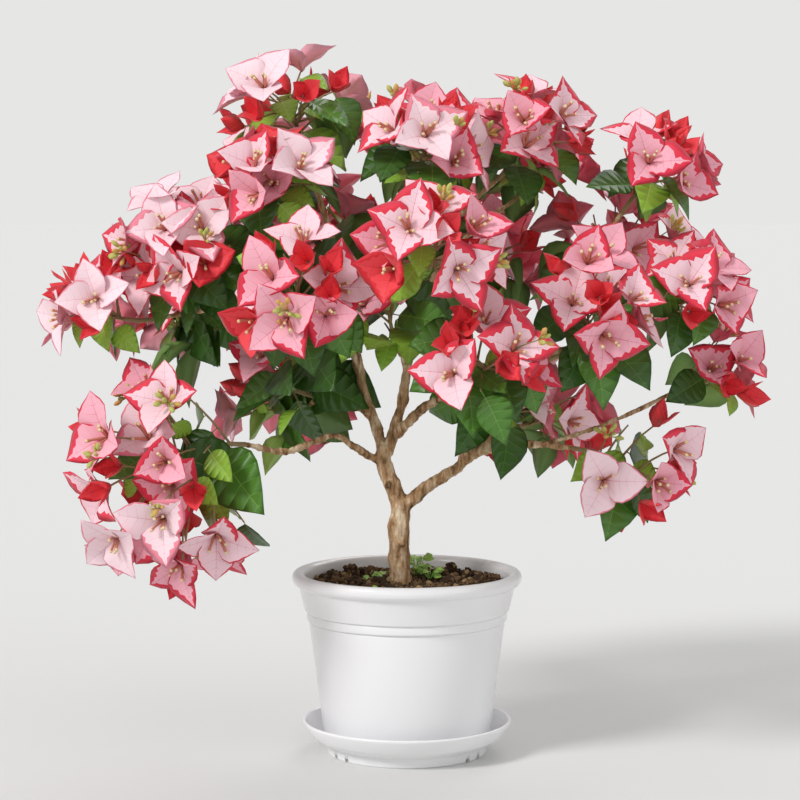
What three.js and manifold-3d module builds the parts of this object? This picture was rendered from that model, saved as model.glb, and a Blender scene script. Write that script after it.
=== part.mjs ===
// A flowering bougainvillea bush trained as a small tree, in a round pot on a saucer.
// Millimetres, +Z up. The origin is the centre of the saucer's flat underside, and the bush's front faces -Y.
// The trunk stands on the soil and forks into leaders. Each bough ends where it enters a mass of foliage, and
// each mass is one solid: a stem, shoots that branch from it by a seeded rule, leaves and three- or four-lobed
// blossoms. A mass keeps to its own cell of space, so that no two masses meet.
import * as THREE from "three";
import { mergeVertices } from "three/addons/utils/BufferGeometryUtils.js";
import Module from "manifold-3d";

const wasm = await Module();
wasm.setup();

const CLEARANCE = 0.3; // gap kept between solids that touch on the real plant
const UP = new THREE.Vector3(0, 0, 1);

// Pot and saucer: injection-moulded, turned about the Z axis.
const ROUND_SIDES = 36;
const SAUCER_FOOT_RADIUS = 64;
const SAUCER_FLOOR_Z = 9;
const SAUCER_RIM_RADIUS = 83.5;
const SAUCER_RIM_Z = 26.5;
const POT_BASE_Z = SAUCER_FLOOR_Z + CLEARANCE;
const POT_BASE_RADIUS = 66;
const POT_RIM_RADIUS = 92;
const POT_RIM_Z = 146;
const POT_WALL = 3.4;
const POT_MOUTH_RADIUS = 81.5;
const NOTCH = { width: 4, height: 3, depth: 5, angles: [48, 61, 119, 132] };

// Soil: a plug that fills the pot to just under the rim, level round the trunk and lumpy outside that.
const SOIL_TOP_Z = 136;
const SOIL_LEVEL_RADIUS = 18;
const SOIL_LUMP = 3;

// Foliage.
const SEED = 3; // another number grows another bush in the same spaces
const CROWN_HEART = new THREE.Vector3(0, 0, 300);
const OVERLAP = 28; // how far past the wall of its cell a mass may reach where its neighbour has left room
const BLOSSOMS = 5.8; // wanted on a mass that reaches 60 mm from its centre
const LEAFY_SHOOTS = 3; // wanted on such a mass
const TRIES = 80; // for the places of each
const BLOOM_FACING = -0.1; // shoots that point further inwards than this carry leaves alone
const SHADED_FACING = -0.75; // shoots that point further inwards than this don't grow
const BRACT_LENGTH = 35;
const LEAF_LENGTH = 64;
const LEAF_HALF_WIDTH = 0.31; // as a share of its length
const STEM_RADIUS = 2.5;
const TWIG_RADIUS = 1.2;
const ENTRY_SHARE = 0.62; // how far out from a mass's centre its bough ends, as a share of its reach

const vec = (x, y, z) => new THREE.Vector3(x, y, z);

// The trunk and the leaders that show under the crown: where the middle of the wood runs, and its radius.
const TRUNK = {
  name: "trunk",
  route: [[-4, 0, SOIL_TOP_Z - 6], [-6.5, 0, 160], [-6, 0, 182], [-5.5, 0, 197], [-9.5, 0, 210],
    [-15, 0, 222], [-19, 0, 234], [-18, 0, 247]],
  radii: [10.6, 8.9, 8.5, 9.2, 7.4, 6.8, 6.9, 5.6],
  sides: 10,
};
const LEADERS = [
  { name: "bough_low_left", on: "trunk", radii: [3.6, 3, 2.8, 2.7, 2.5, 2.3],
    route: [[-18, 0, 232], [-39, -8, 244], [-56, -17, 256], [-73, -30, 252], [-96, -45, 246], [-124, -60, 253]] },
  { name: "bough_low_right", on: "trunk", radii: [5.8, 5.2, 4.6, 4.2, 2.6, 2.2],
    route: [[-4, 0, 196], [22, -4, 218], [41, -8, 230], [52, -11, 240], [88, -28, 250], [128, -46, 249]] },
  { name: "bough_left_leader", on: "trunk", radii: [4.6, 4.2, 3.7, 3.2, 2.6, 2.2],
    route: [[-19, 0, 240], [-25, 6, 262], [-35, 14, 290], [-46, 10, 350], [-62, 0, 420], [-78, -4, 468]] },
  { name: "bough_middle_leader", on: "trunk", radii: [4.6, 4.2, 3.8, 3.2, 2.6, 2.2],
    route: [[-16, 0, 240], [-9, 1, 264], [-3, 1, 284], [2, -4, 340], [6, -20, 400], [10, -42, 438]] },
  { name: "bough_right_leader", on: "bough_middle_leader", radii: [4.2, 3.8, 3.4, 2.8, 2.3],
    route: [[-9, 0, 255], [3, -10, 268], [17, -21, 281], [58, -48, 300], [104, -80, 318]] },
];

// The masses of foliage: centre, reach along X, Y and Z, and the bough and place on it that its own bough leaves
// from, or the leader that ends in it. A leafy mass has few blossoms, and a hanging one has them on its underside.
const MASSES = [
  { name: "low_left", at: [-176, -85, 232], reach: [92, 66, 98], leader: "bough_low_left", hanging: true },
  { name: "left_tip", at: [-229, -52, 354], reach: [60, 54, 54], on: "bough_left_leader", from: 0.38 },
  { name: "left_shoulder", at: [-160, -44, 396], reach: [78, 68, 66], on: "bough_left_leader", from: 0.55 },
  { name: "upper_left", at: [-100, -72, 452], reach: [60, 58, 48], on: "bough_left_leader", from: 0.68 },
  { name: "top_left", at: [-86, 0, 508], reach: [70, 64, 54], leader: "bough_left_leader" },
  { name: "top_middle", at: [12, -68, 476], reach: [56, 62, 52], leader: "bough_middle_leader" },
  { name: "top_right", at: [92, -12, 486], reach: [60, 64, 58], on: "bough_middle_leader", from: 0.62 },
  { name: "upper_right", at: [190, -20, 458], reach: [58, 54, 58], on: "bough_right_leader", from: 0.6 },
  { name: "front_left", at: [-77, -150, 364], reach: [58, 60, 72], on: "bough_left_leader", from: 0.3 },
  { name: "front_middle", at: [19, -168, 402], reach: [60, 58, 56], on: "bough_middle_leader", from: 0.52 },
  { name: "front_right", at: [54, -152, 318], reach: [58, 58, 62], on: "bough_right_leader", from: 0.42 },
  { name: "right_front", at: [140, -108, 350], reach: [56, 60, 78], leader: "bough_right_leader" },
  { name: "right_middle", at: [216, -42, 364], reach: [54, 58, 56], on: "bough_right_leader", from: 0.78 },
  { name: "far_right", at: [238, -24, 302], reach: [56, 52, 54], on: "bough_low_right", from: 0.84 },
  { name: "low_right", at: [168, -66, 232], reach: [64, 58, 68], leader: "bough_low_right", hanging: true },
  { name: "inner_left", at: [-84, -6, 296], reach: [70, 62, 64], on: "bough_left_leader", from: 0.12, leafy: true },
  { name: "inner_right", at: [66, -30, 276], reach: [64, 60, 52], on: "bough_low_right", from: 0.55, leafy: true },
  { name: "inner_middle", at: [-12, -44, 346], reach: [56, 52, 54], on: "bough_middle_leader", from: 0.3,
    leafy: true },
  { name: "back_left", at: [-182, 88, 352], reach: [78, 76, 76], on: "bough_left_leader", from: 0.33 },
  { name: "back_middle_left", at: [-72, 158, 396], reach: [74, 68, 74], on: "bough_left_leader", from: 0.45 },
  { name: "back_middle_right", at: [58, 162, 384], reach: [74, 68, 76], on: "bough_middle_leader", from: 0.42 },
  { name: "back_right", at: [172, 96, 384], reach: [76, 74, 80], on: "bough_right_leader", from: 0.5 },
  { name: "back_top_left", at: [-96, 84, 462], reach: [60, 60, 54], on: "bough_left_leader", from: 0.62 },
  { name: "back_top", at: [6, 72, 482], reach: [64, 62, 56], on: "bough_middle_leader", from: 0.72 },
  { name: "back_top_right", at: [104, 88, 462], reach: [60, 60, 54], on: "bough_middle_leader", from: 0.5 },
  { name: "back_low_left", at: [-104, 112, 266], reach: [66, 64, 60], on: "bough_left_leader", from: 0.2 },
  { name: "back_low_right", at: [112, 112, 262], reach: [68, 64, 60], on: "bough_low_right", from: 0.42 },
];

const MATERIALS = {
  pot: new THREE.MeshStandardMaterial({ color: 0xf1f2f3, roughness: 0.28, metalness: 0 }),
  soil: new THREE.MeshStandardMaterial({ color: 0x4a3424, roughness: 0.95, metalness: 0 }),
  bark: new THREE.MeshStandardMaterial({ color: 0xa98a66, roughness: 0.85, metalness: 0 }),
  foliage: new THREE.MeshStandardMaterial({ color: 0xe9a0a6, roughness: 0.6, metalness: 0 }),
};

// A closed mesh as a solid that can be joined and cut.
function solidOf(geometry) {
  const bare = geometry.clone();
  bare.deleteAttribute("normal");
  bare.deleteAttribute("uv");
  const merged = mergeVertices(bare, 1e-4);
  return new wasm.Manifold(new wasm.Mesh({
    numProp: 3,
    vertProperties: merged.attributes.position.array,
    triVerts: new Uint32Array(merged.index.array),
  }));
}

// Whether a solid stays clear of another; boxes that are apart settle it at once.
function staysClear(piece, other) {
  const apart = [0, 1, 2].some((k) => piece.box.min[k] > other.box.max[k] + 1
    || other.box.min[k] > piece.box.max[k] + 1);
  return apart || piece.solid.minGap(other.solid, 1) > CLEARANCE;
}

const boxed = (solid) => ({ solid, box: solid.boundingBox() });

// The largest body of a solid, so that scraps and sealed hollows are left out.
function largestBody(solid) {
  return solid.decompose().reduce((best, body) => (body.volume() > best.volume() ? body : best));
}

function meshOf(solid, name, material) {
  const { vertProperties, triVerts } = solid.getMesh();
  const geometry = new THREE.BufferGeometry()
    .setAttribute("position", new THREE.BufferAttribute(new Float32Array(vertProperties), 3))
    .setIndex(new THREE.BufferAttribute(new Uint32Array(triVerts), 1));
  geometry.computeVertexNormals();
  const mesh = new THREE.Mesh(geometry, material);
  mesh.name = name;
  return mesh;
}

// Moves every vertex of a geometry through a function of its place.
function reshape(geometry, placed) {
  const position = geometry.attributes.position;
  const vertex = new THREE.Vector3();
  for (let i = 0; i < position.count; i++) {
    const { x, y, z } = placed(vertex.fromBufferAttribute(position, i));
    position.setXYZ(i, x, y, z);
  }
  return geometry;
}

// A repeatable stream of numbers from 0 to 1.
function seeded(seed) {
  let state = (Math.imul(SEED * 100000 + seed, 2654435761) + 40503) >>> 0;
  return () => {
    state = (Math.imul(state, 1664525) + 1013904223) >>> 0;
    return state / 4294967296;
  };
}

// Wood along a curve: a cylinder bent to it, with its radius read at each step.
function woodAlong(curve, radiusAt, sides, steps) {
  const { normals, binormals } = curve.computeFrenetFrames(steps);
  return reshape(new THREE.CylinderGeometry(1, 1, 1, sides, steps), ({ x, y, z }) => {
    const step = Math.round((y + 0.5) * steps);
    const radius = radiusAt(step / steps);
    return curve.getPointAt(step / steps)
      .addScaledVector(normals[step], x * radius)
      .addScaledVector(binormals[step], -z * radius);
  });
}

// Reads a list of radii that are spread evenly along a limb.
function between(radii, share) {
  const place = share * (radii.length - 1);
  const before = Math.min(Math.floor(place), radii.length - 2);
  return THREE.MathUtils.lerp(radii[before], radii[before + 1], place - before);
}

function turned(profile) {
  const points = profile.map(([radius, z]) => new THREE.Vector2(radius, z));
  return solidOf(new THREE.LatheGeometry(points, ROUND_SIDES).rotateX(Math.PI / 2));
}

function saucer() {
  const dish = turned([
    [0, 0], [SAUCER_FOOT_RADIUS, 0], [SAUCER_FOOT_RADIUS + 0.6, 7.8], [73, 11.4], [79.6, 18],
    [SAUCER_RIM_RADIUS, SAUCER_RIM_Z - 2], [SAUCER_RIM_RADIUS - 1.2, SAUCER_RIM_Z],
    [SAUCER_RIM_RADIUS - 3, SAUCER_RIM_Z - 1], [76.8, 18.4], [69, SAUCER_FLOOR_Z], [0, SAUCER_FLOOR_Z],
  ]);
  return [-1, 1].flatMap((side) => NOTCH.angles.map((angle) => angle * side)).reduce((cut, angle) => {
    const notch = new THREE.BoxGeometry(NOTCH.width, NOTCH.depth * 2, NOTCH.height * 2)
      .translate(0, -SAUCER_FOOT_RADIUS, 0)
      .rotateZ(THREE.MathUtils.degToRad(angle));
    return cut.subtract(solidOf(notch));
  }, dish);
}

function pot() {
  return turned([
    [0, POT_BASE_Z], [POT_BASE_RADIUS, POT_BASE_Z], [78.2, 103.6], [79.6, 104.6], [80.2, 111.4], [81.6, 112.6],
    [86.4, 134], [90.6, 137], [POT_RIM_RADIUS, 141], [90.4, 144.8], [87, POT_RIM_Z],
    [POT_MOUTH_RADIUS, POT_RIM_Z - 2.4], [80.4, 134], [POT_BASE_RADIUS - POT_WALL, POT_BASE_Z + POT_WALL],
    [0, POT_BASE_Z + POT_WALL],
  ]);
}

// The soil's side follows the pot's inner wall, and its top is lumpy outside the level patch round the trunk.
function soil() {
  const bottom = POT_BASE_Z + POT_WALL + CLEARANCE;
  const wallTop = { radius: 80.4, z: 134 };
  const wallFoot = { radius: POT_BASE_RADIUS - POT_WALL, z: POT_BASE_Z + POT_WALL };
  const slope = (wallTop.radius - wallFoot.radius) / (wallTop.z - wallFoot.z);
  const wallAt = (z) => wallFoot.radius + (z - wallFoot.z) * slope - CLEARANCE * 1.3;
  const rings = [[SOIL_LEVEL_RADIUS, 0], [38, 1], [58, 1]];
  const plug = turned([
    [0, bottom], [wallAt(bottom), bottom], [wallAt(SOIL_TOP_Z - 4), SOIL_TOP_Z - 4],
    ...rings.reverse().map(([radius]) => [radius, SOIL_TOP_Z]), [0, SOIL_TOP_Z],
  ]);
  return plug.warp((vertex) => {
    const radius = Math.hypot(vertex[0], vertex[1]);
    if (vertex[2] < SOIL_TOP_Z - 1 || radius < SOIL_LEVEL_RADIUS + 1) return;
    const angle = Math.atan2(vertex[1], vertex[0]);
    vertex[2] += SOIL_LUMP * (0.5 * Math.sin(5 * angle + radius) + 0.4 * Math.sin(9 * angle - radius * 0.3)) - 1;
  });
}

// Every limb by name: its curve, its radii and, once cut, its solid.
const limbs = new Map();

function limbGrown({ name, route, radii, on, sides = 6 }) {
  const curve = route instanceof THREE.Curve ? route
    : new THREE.CatmullRomCurve3(route.map((point) => vec(...point)), false, "centripetal");
  const steps = Math.max(3, Math.round(curve.getLength() / 22));
  const grown = (extra) => solidOf(woodAlong(curve, (share) => between(radii, share) + extra, sides, steps));
  const limb = { name, on, curve, radii, solid: grown(0), around: grown(CLEARANCE * 1.6) };
  limbs.set(name, limb);
  return limb;
}

// A bough of its own for a mass: it leaves its parent limb, arches up a little and ends as it enters the mass.
function boughTo(mass) {
  const parent = limbs.get(mass.on);
  const start = parent.curve.getPointAt(mass.from);
  const along = parent.curve.getTangentAt(mass.from);
  const centre = vec(...mass.at);
  const inwards = start.clone().sub(centre).normalize();
  const entry = Math.min(ownReach(mass, inwards) * ENTRY_SHARE, start.distanceTo(centre) * 0.5);
  const tip = centre.clone().addScaledVector(inwards, entry);
  const span = tip.distanceTo(start);
  const elbow = start.clone().addScaledVector(along, span * 0.3).lerp(tip, 0.25).addScaledVector(UP, span * 0.04);
  const radius = between(parent.radii, mass.from) * 0.72;
  return limbGrown({
    name: "bough_" + mass.name,
    on: mass.on,
    route: new THREE.QuadraticBezierCurve3(start, elbow, tip),
    radii: [radius, (radius + 1.9) / 2, 1.9],
    sides: 5,
  });
}

// How far a mass reaches from its centre along a direction, its cell's walls left out.
function ownReach(mass, direction) {
  const [x, y, z] = mass.reach;
  return 1 / Math.hypot(direction.x / x, direction.y / y, direction.z / z);
}

// The walls of a mass's cell, each halfway to another mass with their sizes allowed for: where it faces, and how
// far from the mass's centre it stands.
function cellWalls(mass) {
  const size = (other) => Math.cbrt(other.reach[0] * other.reach[1] * other.reach[2]);
  return MASSES.filter((other) => other !== mass).map((other) => {
    const facing = vec(...other.at).sub(vec(...mass.at));
    const apart = facing.length();
    const distance = (apart * apart + size(mass) ** 2 - size(other) ** 2) / (2 * apart);
    return { facing: facing.normalize(), distance };
  });
}

// A leaf blade: a folded lens with its widest place nearer its root, and its tip bent down.
function leafBlade(root, along, face, length) {
  const side = along.clone().cross(face).normalize();
  return reshape(new THREE.OctahedronGeometry(1), ({ x, y, z }) => {
    const point = root.clone();
    if (Math.abs(y) > 0.5) {
      return point.addScaledVector(along, y > 0 ? length : -0.2).addScaledVector(face, y > 0 ? -0.1 * length : 0);
    }
    return point.addScaledVector(along, length * 0.42)
      .addScaledVector(side, x * length * LEAF_HALF_WIDTH)
      .addScaledVector(face, Math.abs(x) > 0.5 ? length * 0.07 : z * length * 0.016);
  });
}

// A blossom: a cup of pointed bracts, open by an angle from its axis. The twig enters one side of its underside.
function blossomCup(twigTip, axis, { lobes, opening, spin, length }) {
  const across = (Math.abs(axis.z) < 0.9 ? UP : vec(1, 0, 0)).clone().cross(axis).normalize();
  const over = axis.clone().cross(across);
  const corners = lobes * 3;
  const shoulder = 0.56;
  const tipRadius = Math.sin(opening) * length;
  const halfAngle = Math.min(Math.PI / lobes - 0.1, Math.atan2(0.42, shoulder * Math.sin(opening)));
  const base = twigTip.clone().addScaledVector(axis, -1.5)
    .addScaledVector(across, -2.8 * Math.cos(spin + halfAngle / 2))
    .addScaledVector(over, -2.8 * Math.sin(spin + halfAngle / 2));
  return reshape(new THREE.SphereGeometry(1, corners, 2), ({ x, y, z }) => {
    if (Math.abs(y) > 0.5) return base.clone().addScaledVector(axis, y > 0 ? 2.6 : -1.2);
    const corner = Math.round((Math.atan2(z, -x) / (2 * Math.PI)) * corners + corners) % corners;
    const lobe = Math.floor(corner / 3);
    const place = corner % 3; // 0 and 2 are a bract's shoulders, 1 is its tip
    const angle = spin + (lobe * 2 * Math.PI) / lobes + (place - 1) * halfAngle;
    const radius = place === 1 ? tipRadius : (tipRadius * shoulder) / Math.cos(halfAngle) * 0.96;
    const height = Math.cos(opening) * length * (place === 1 ? 1 : shoulder * 1.15);
    return base.clone()
      .addScaledVector(across, Math.cos(angle) * radius)
      .addScaledVector(over, Math.sin(angle) * radius)
      .addScaledVector(axis, height);
  });
}

function cornersOf(geometry) {
  const { position } = geometry.attributes;
  return Array.from({ length: position.count }, (_, i) => new THREE.Vector3().fromBufferAttribute(position, i));
}

// A direction from a series that fills the sphere more and more finely.
function spreadDirection(index, chance) {
  const height = 1 - 2 * ((index * 0.7548776662 + 0.5) % 1);
  const ring = Math.sqrt(1 - height * height);
  const angle = 2 * Math.PI * ((index * 0.5698402910 + 0.1 * chance()) % 1);
  return vec(ring * Math.cos(angle), ring * Math.sin(angle), height);
}

// What a blossom is like: mostly wide open, some half open and a few still in bud.
function blossomKind(chance) {
  const age = chance();
  const lobes = chance() < 0.55 ? 3 : 4;
  const spin = chance() * 2 * Math.PI;
  if (age < 0.12) return { lobes: 3, spin, opening: 0.42, length: BRACT_LENGTH * 0.72 };
  if (age < 0.34) return { lobes: 3, spin, opening: 0.85, length: BRACT_LENGTH * 0.92 };
  return { lobes, spin, opening: 1.18, length: BRACT_LENGTH * (0.95 + 0.12 * chance()) };
}

// One mass of foliage, grown on from the tip of its bough. It leaves out any twig, leaf or blossom that would
// leave its space, or come too near to the wood or to a mass grown before it.
function foliage(mass, index, wood, neighbours) {
  const centre = vec(...mass.at);
  const walls = cellWalls(mass);
  const bough = limbs.get(mass.leader ?? "bough_" + mass.name);
  const heading = bough.curve.getTangentAt(1);
  const entry = bough.curve.getPointAt(1).addScaledVector(heading, CLEARANCE);
  const outward = centre.clone().sub(CROWN_HEART).normalize();
  const reachAlong = (direction) => walls.reduce((reach, { facing, distance }) => {
    const towards = facing.dot(direction);
    return towards > 0 ? Math.min(reach, (distance + OVERLAP / 2) / towards) : reach;
  }, ownReach(mass, direction));
  const stemTip = centre.clone().addScaledVector(outward, reachAlong(outward) * 0.25);
  const stem = new THREE.QuadraticBezierCurve3(
    entry, entry.clone().addScaledVector(heading, entry.distanceTo(stemTip) * 0.4), stemTip);

  const inSpace = (geometry) => cornersOf(geometry).every((corner) => {
    const away = corner.sub(centre);
    return walls.every(({ facing, distance }) => away.dot(facing) < distance + OVERLAP)
      && away.length() < ownReach(mass, away.clone().normalize()) * 1.03;
  });
  const pieces = [boxed(solidOf(woodAlong(stem, (share) => STEM_RADIUS * (1 - 0.25 * share), 4, 2)))];
  // Adds a piece that grows on another, if there's room for it.
  const grow = (geometry, on) => {
    if (!inSpace(geometry)) return null;
    const piece = boxed(solidOf(geometry));
    const others = [...wood, ...neighbours, ...pieces].filter((other) => other !== on);
    if (!others.every((other) => staysClear(piece, other))) return null;
    pieces.push(piece);
    return piece;
  };
  // A shoot from the stem and what grows on its end. Each try stops shorter and leaves the stem elsewhere.
  const shoots = [];
  const growShoot = (chance, direction, facing, blooms) => {
    const kind = blossomKind(chance);
    const headroom = blooms ? kind.length * Math.cos(kind.opening) + 2 : LEAF_LENGTH * 0.45;
    for (let stretch = 1; stretch > 0.5; stretch -= 0.06) {
      const nudge = vec(chance() - 0.5, chance() - 0.5, chance() - 0.5);
      const face = direction.clone().multiplyScalar(0.8).addScaledVector(outward, 0.4)
        .addScaledVector(nudge, 0.8).normalize();
      const leave = stem.getPointAt(THREE.MathUtils.clamp(0.55 + 0.3 * facing + 0.6 * (chance() - 0.5), 0.1, 0.97));
      const tip = centre.clone().addScaledVector(direction, reachAlong(direction) * stretch - headroom);
      const reach = tip.distanceTo(leave);
      if (reach < 12) return false;
      const elbow = leave.clone().lerp(tip, 0.5).addScaledVector(UP, reach * 0.12);
      const shoot = new THREE.QuadraticBezierCurve3(leave, elbow, tip);
      const steps = reach > 60 ? 2 : 1;
      const twig = grow(woodAlong(shoot, (share) => TWIG_RADIUS * (1 - 0.35 * share), 3, steps), pieces[0]);
      if (!twig) continue;
      if (grow(blooms ? blossomCup(tip, face, kind) : leafAt(shoot, 1, chance, outward), twig)) {
        shoots.push({ shoot, twig });
        return true;
      }
      pieces.pop();
    }
    return false;
  };
  const size = (mass.reach[0] + mass.reach[1] + mass.reach[2]) / 3;
  const wanted = (each) => Math.round(each * (size / 60) ** 2);
  const seasons = [
    { blooms: true, left: wanted(mass.leafy ? 1 : BLOSSOMS), from: BLOOM_FACING, to: 1 },
    { blooms: false, left: wanted(mass.leafy ? LEAFY_SHOOTS * 2 : LEAFY_SHOOTS), from: SHADED_FACING, to: 0.7 },
  ];
  for (const season of seasons) {
    for (let i = 0; i < TRIES && season.left > 0; i++) {
      const chance = seeded(index * 1000 + i + (season.blooms ? 0 : TRIES));
      const direction = spreadDirection(i, chance);
      const facing = direction.dot(outward);
      const under = direction.z < -0.5 && season.blooms && !mass.hanging;
      if (facing < season.from || facing > season.to || under) continue;
      if (growShoot(chance, direction, facing, season.blooms)) season.left -= 1;
    }
  }
  shoots.forEach(({ shoot, twig }, i) => {
    const chance = seeded(index * 1000 + 2 * TRIES + i);
    for (const place of [0.78, 0.45]) {
      for (let turn = 0; turn < 5; turn++) if (grow(leafAt(shoot, place, chance, outward), twig)) break;
    }
  });
  return largestBody(wasm.Manifold.union(pieces.map(({ solid }) => solid)).asOriginal().simplify(0.1));
}

// A leaf on a shoot: it stands out to one side and hangs a little, with its upper face outwards and up.
function leafAt(shoot, place, chance, outward) {
  const turn = chance() * 2 * Math.PI;
  const growsOn = shoot.getTangentAt(place);
  const across = growsOn.clone().cross(UP).normalize();
  const over = across.clone().cross(growsOn);
  const along = growsOn.clone().multiplyScalar(0.55)
    .addScaledVector(across, Math.cos(turn))
    .addScaledVector(over, Math.sin(turn) * 0.6)
    .addScaledVector(UP, -0.45)
    .addScaledVector(outward, 0.35).normalize();
  const face = UP.clone().multiplyScalar(0.7).addScaledVector(outward, 0.6);
  face.addScaledVector(along, -face.dot(along)).normalize();
  return leafBlade(shoot.getPointAt(place), along, face, LEAF_LENGTH * (0.65 + 0.45 * chance()));
}

const trunk = limbGrown(TRUNK);
trunk.solid = trunk.solid.trimByPlane([0, 0, 1], SOIL_TOP_Z + CLEARANCE);
LEADERS.forEach(limbGrown);
MASSES.filter((mass) => mass.on).forEach(boughTo);

// Each limb is cut back from those that grew before it, so that it starts on its parent's surface.
const grown = [];
for (const limb of limbs.values()) {
  const before = grown.map((other) => other.around);
  limb.solid = largestBody(limb.solid.subtract(wasm.Manifold.union(before)).asOriginal().simplify(0.1));
  grown.push(limb);
}
const wood = grown.map((limb) => boxed(limb.solid));

const bush = new THREE.Group();
bush.add(meshOf(saucer(), "saucer", MATERIALS.pot));
bush.add(meshOf(pot(), "pot", MATERIALS.pot));
bush.add(meshOf(soil(), "soil", MATERIALS.soil));
for (const limb of grown) bush.add(meshOf(limb.solid, limb.name, MATERIALS.bark));
const masses = [];
MASSES.forEach((mass, index) => {
  masses.push(boxed(foliage(mass, index, wood, masses)));
  bush.add(meshOf(masses.at(-1).solid, "foliage_" + mass.name, MATERIALS.foliage));
});

export default bush;
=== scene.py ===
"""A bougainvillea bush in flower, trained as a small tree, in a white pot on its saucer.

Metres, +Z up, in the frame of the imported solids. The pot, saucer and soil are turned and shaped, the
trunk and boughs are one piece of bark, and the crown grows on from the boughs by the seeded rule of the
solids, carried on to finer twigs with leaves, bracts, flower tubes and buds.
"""

import sys

import logging
import math
from collections.abc import Sequence
from dataclasses import dataclass, field
from enum import Enum
from itertools import pairwise

import bpy
import numpy as np
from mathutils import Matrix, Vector, noise


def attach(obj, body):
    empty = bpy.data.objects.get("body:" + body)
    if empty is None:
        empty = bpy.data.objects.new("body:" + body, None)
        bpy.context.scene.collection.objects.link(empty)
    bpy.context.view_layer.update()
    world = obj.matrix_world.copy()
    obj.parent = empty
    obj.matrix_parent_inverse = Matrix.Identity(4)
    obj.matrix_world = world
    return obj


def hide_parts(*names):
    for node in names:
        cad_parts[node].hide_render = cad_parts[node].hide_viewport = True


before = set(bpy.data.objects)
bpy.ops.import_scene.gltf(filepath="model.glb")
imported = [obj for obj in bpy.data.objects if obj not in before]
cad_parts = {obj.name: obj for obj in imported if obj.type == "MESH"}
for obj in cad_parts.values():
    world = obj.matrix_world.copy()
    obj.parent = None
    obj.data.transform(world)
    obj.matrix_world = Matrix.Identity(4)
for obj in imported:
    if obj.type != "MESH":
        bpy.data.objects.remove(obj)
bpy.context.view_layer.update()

LOG = logging.getLogger("bush")
UP, SIDEWAYS = np.array((0.0, 0.0, 1.0)), np.array((1.0, 0.0, 0.0))
Point = tuple[float, float, float]
Walls = tuple[np.ndarray, np.ndarray]  # the direction that each wall of a cell faces, and its distance


# ---------------------------------------------------------------------------------------------- finishes


def linear(colour: str) -> tuple[float, float, float, float]:
    """Turns an sRGB hex colour to the linear values that shaders take.

    Args:
        colour: six hex digits, without a hash.

    Returns:
        Red, green, blue and an alpha of 1.
    """
    shares = (int(colour[i : i + 2], 16) / 255 for i in (0, 2, 4))
    red, green, blue = (s / 12.92 if s <= 0.04045 else ((s + 0.055) / 1.055) ** 2.4 for s in shares)
    return red, green, blue, 1.0


def add_node(
    material: bpy.types.Material,
    kind: str,
    settings: dict[str, object],
    links: dict[str, bpy.types.NodeSocket],
) -> bpy.types.Node:
    """Adds a node to a material.

    Args:
        material: the material that gets the node.
        kind: the node's type name.
        settings: values by the name of a property of the node, or else of an input.
        links: sockets to link from, by the name of the input that each one feeds.

    Returns:
        The new node.
    """
    node = material.node_tree.nodes.new(kind)
    for name, value in settings.items():
        if name in node.inputs:
            node.inputs[name].default_value = value
        else:
            setattr(node, name, value)
    for name, socket in links.items():
        material.node_tree.links.new(socket, node.inputs[name])
    return node


def add_noise(
    material: bpy.types.Material,
    place: bpy.types.NodeSocket,
    size: float,
    detail: float,
    roughness: float = 0.5,
) -> bpy.types.NodeSocket:
    """Adds a noise pattern.

    Args:
        material: the material.
        place: where the pattern is read.
        size: how wide its patches are, in metres.
        detail: how many finer patterns are laid over it.
        roughness: how strong they are.

    Returns:
        The pattern.
    """
    settings = {"Scale": 1 / size, "Detail": detail, "Roughness": roughness}
    return add_node(material, "ShaderNodeTexNoise", settings, {"Vector": place}).outputs["Fac"]


def add_relief(
    material: bpy.types.Material,
    shader: bpy.types.Node,
    height: bpy.types.NodeSocket,
    relief: tuple[float, float],
) -> None:
    """Gives a material relief from a pattern.

    Args:
        material: the material.
        shader: its surface shader.
        height: the pattern.
        relief: the relief's strength, and its depth in metres.
    """
    strength, depth = relief
    bump = add_node(material, "ShaderNodeBump", {"Strength": strength, "Distance": depth}, {"Height": height})
    material.node_tree.links.new(bump.outputs["Normal"], shader.inputs["Normal"])


@dataclass(frozen=True)
class Finish:
    """What a surface is made of, in one colour: the base of every finish here."""

    name: str
    colour: str
    roughness: float
    ior: float = 1.45
    sheen: float = 0.0

    def material(self) -> bpy.types.Material:
        """Makes the material, or finds it if it is already made.

        Returns:
            The material.
        """
        made = bpy.data.materials.get(self.name)
        if made:
            return made
        material = bpy.data.materials.new(self.name)
        material.use_nodes = True
        shader = material.node_tree.nodes["Principled BSDF"]
        shader.inputs["Base Color"].default_value = linear(self.colour)
        shader.inputs["Roughness"].default_value = self.roughness
        shader.inputs["IOR"].default_value = self.ior
        shader.inputs["Sheen Weight"].default_value = self.sheen
        material.diffuse_color = linear(self.colour)
        self.pattern(material, shader)
        return material

    def pattern(self, material: bpy.types.Material, shader: bpy.types.Node) -> None:
        """Adds a finish's own pattern; a plain one has none."""


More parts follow.
